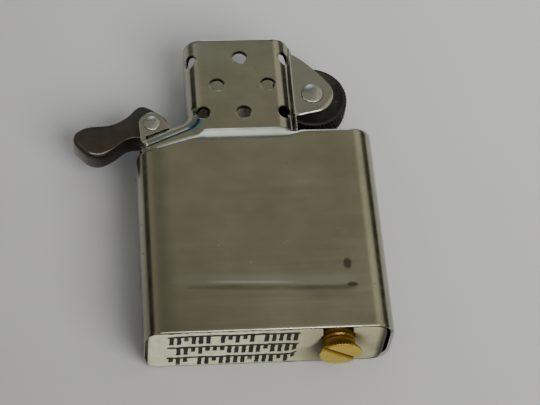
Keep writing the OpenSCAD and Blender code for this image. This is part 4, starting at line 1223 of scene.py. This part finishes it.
def looking(eye, aim, roll=0.0):
    """Placing of a lamp or camera at eye that looks at aim, its right-hand side rolled up by an angle."""
    away = np.asarray(eye) - aim
    away /= np.linalg.norm(away)
    level = np.cross([0.0, 0.0, 1.0], away)
    level /= np.linalg.norm(level)
    right = np.cos(roll) * level + np.sin(roll) * np.cross(away, level)
    turn = np.column_stack([right, np.cross(away, right), away, np.asarray(eye) * MM])
    return Matrix([*turn.tolist(), [0, 0, 0, 1]])


def placed_in_scene(name, data, placing=None):
    """An object for a mesh, lamp or camera, linked to the scene."""
    made = bpy.data.objects.new(name, data)
    if placing is not None:
        made.matrix_world = placing
    bpy.context.scene.collection.objects.link(made)
    return made


def floor():
    """A pale table with painted light: lighter towards the back right, as if more light fell there."""
    mesh = bpy.data.meshes.new("floor")
    mesh.from_pydata([(-2, -2, 0), (2, -2, 0), (2, 2, 0), (-2, 2, 0)], [], [(0, 1, 2, 3)])
    made, w, shader, place = material("pale_table", Roughness=0.75)
    x, y, _ = w.add("SeparateXYZ", {0: place}).outputs
    # painted light: the table's colour lightens towards the back right
    fade = w.span(w.math("MULTIPLY_ADD", y, 0.8, x), -0.06, 0.1)
    tone = w.math("MULTIPLY_ADD", w.noise(place, 30.0), 0.1, w.times(fade, 0.9))
    w.put(shader.inputs["Base Color"], w.mix(tone, (0.42, 0.42, 0.43, 1), (0.75, 0.755, 0.765, 1)))
    mesh.materials.append(made)
    table = placed_in_scene("floor", mesh)


def lamps():
    """A broad soft key light from the front right that leaves no glint, and a strip overhead that gives only
    the glints along the front edges."""
    soft = bpy.data.lights.new("key", "AREA")
    soft.shape, soft.size, soft.energy, soft.color = "DISK", 0.8, 11.0, (1.0, 0.98, 0.95)
    key = placed_in_scene("key", soft, looking((480.0, -660.0, 680.0), (0.0, 0.0, 0.0)))
    key.visible_glossy = False
    strip = bpy.data.lights.new("glint", "AREA")
    strip.shape, strip.size, strip.size_y, strip.energy = "RECTANGLE", 1.1, 0.25, 6.0
    glint = placed_in_scene("glint", strip, looking((0.0, -270.0, 1100.0), (0.0, 0.0, 0.0)))
    glint.visible_diffuse = False


def sky():
    """A sky by direction: dim low down and pale above, lighter to the right, banded towards the back, with a
    bright window there. It is what the bare steel reflects."""
    world = bpy.data.worlds.new("studio")
    bpy.context.scene.world = world
    world.use_nodes = True
    w = Wiring(world.node_tree)
    side, back, up = w.add("SeparateXYZ", {0: w.add("TexCoord", {}).outputs["Generated"]}).outputs
    ramp = w.add("ValToRGB", {0: w.span(up, -0.02, 1.0)})
    stops = [(0.0, (0.55, 0.55, 0.56)), (0.04, (0.05, 0.05, 0.05)), (0.42, (0.06, 0.055, 0.05)),
             (0.54, (0.75, 0.74, 0.66)), (0.72, (0.66, 0.64, 0.54)), (0.85, (0.45, 0.44, 0.37)),
             (1.0, (0.4, 0.4, 0.38))]
    for k, (at, colour) in enumerate(stops):
        stop = ramp.color_ramp.elements[k] if k < 2 else ramp.color_ramp.elements.new(at)
        stop.position, stop.color = at, (*colour, 1)
    right = w.times(w.between(side, 0.22, 0.32, 0.58, 0.7), w.span(up, 0.3, 0.45))
    far = w.span(back, 0.775, 0.81)
    window = w.times(w.between(side, -0.075, -0.05, 0.11, 0.15), w.span(up, 0.02, 0.06), far)
    light = w.layers(
        ramp.outputs[0],
        (w.span(back, 0.588, 0.605), (0.55, 0.62, 0.63)),
        (w.span(back, 0.625, 0.655), (0.05, 0.07, 0.09)),
        (right, (0.95, 0.94, 0.82)),
        (far, (0.36, 0.38, 0.39)),
        (window, (2.8, 3.25, 3.9)))
    background = world.node_tree.nodes["Background"]
    w.put(background.inputs["Color"], light)
    background.inputs["Strength"].default_value = 0.75


def camera():
    """The photograph's camera: a long lens above the felt end, rolled a little."""
    lens = bpy.data.cameras.new("camera")
    lens.lens, lens.sensor_width, lens.clip_start, lens.clip_end = 115.284, 36.0, 0.01, 20.0
    placing = looking((-25.38, -127.61, 229.42), (2.03, 7.33, 5.4), np.radians(8.22))
    bpy.context.scene.camera = placed_in_scene("camera", lens, placing)


floor()
lamps()
sky()
camera()
tank()
chimney()
cam()
wheel()
rivet("cam_rivet_domed", PIVOT, 0.95, 1.3, CAM_EAR_Z, "cam_rivet")
rivet("wheel_rivet_domed", AXLE, 1.1, 1.75, EAR_Z, "wheel_rivet")
screw()
flint_works()
spring()
felt()
wick()
cotton()
for node, steel in (("cam_spring", SPRING_STEEL), ("cam_spring_rivet", RIVET_STEEL)):
    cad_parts[node].data.materials.clear()
    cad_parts[node].data.materials.append(steel)
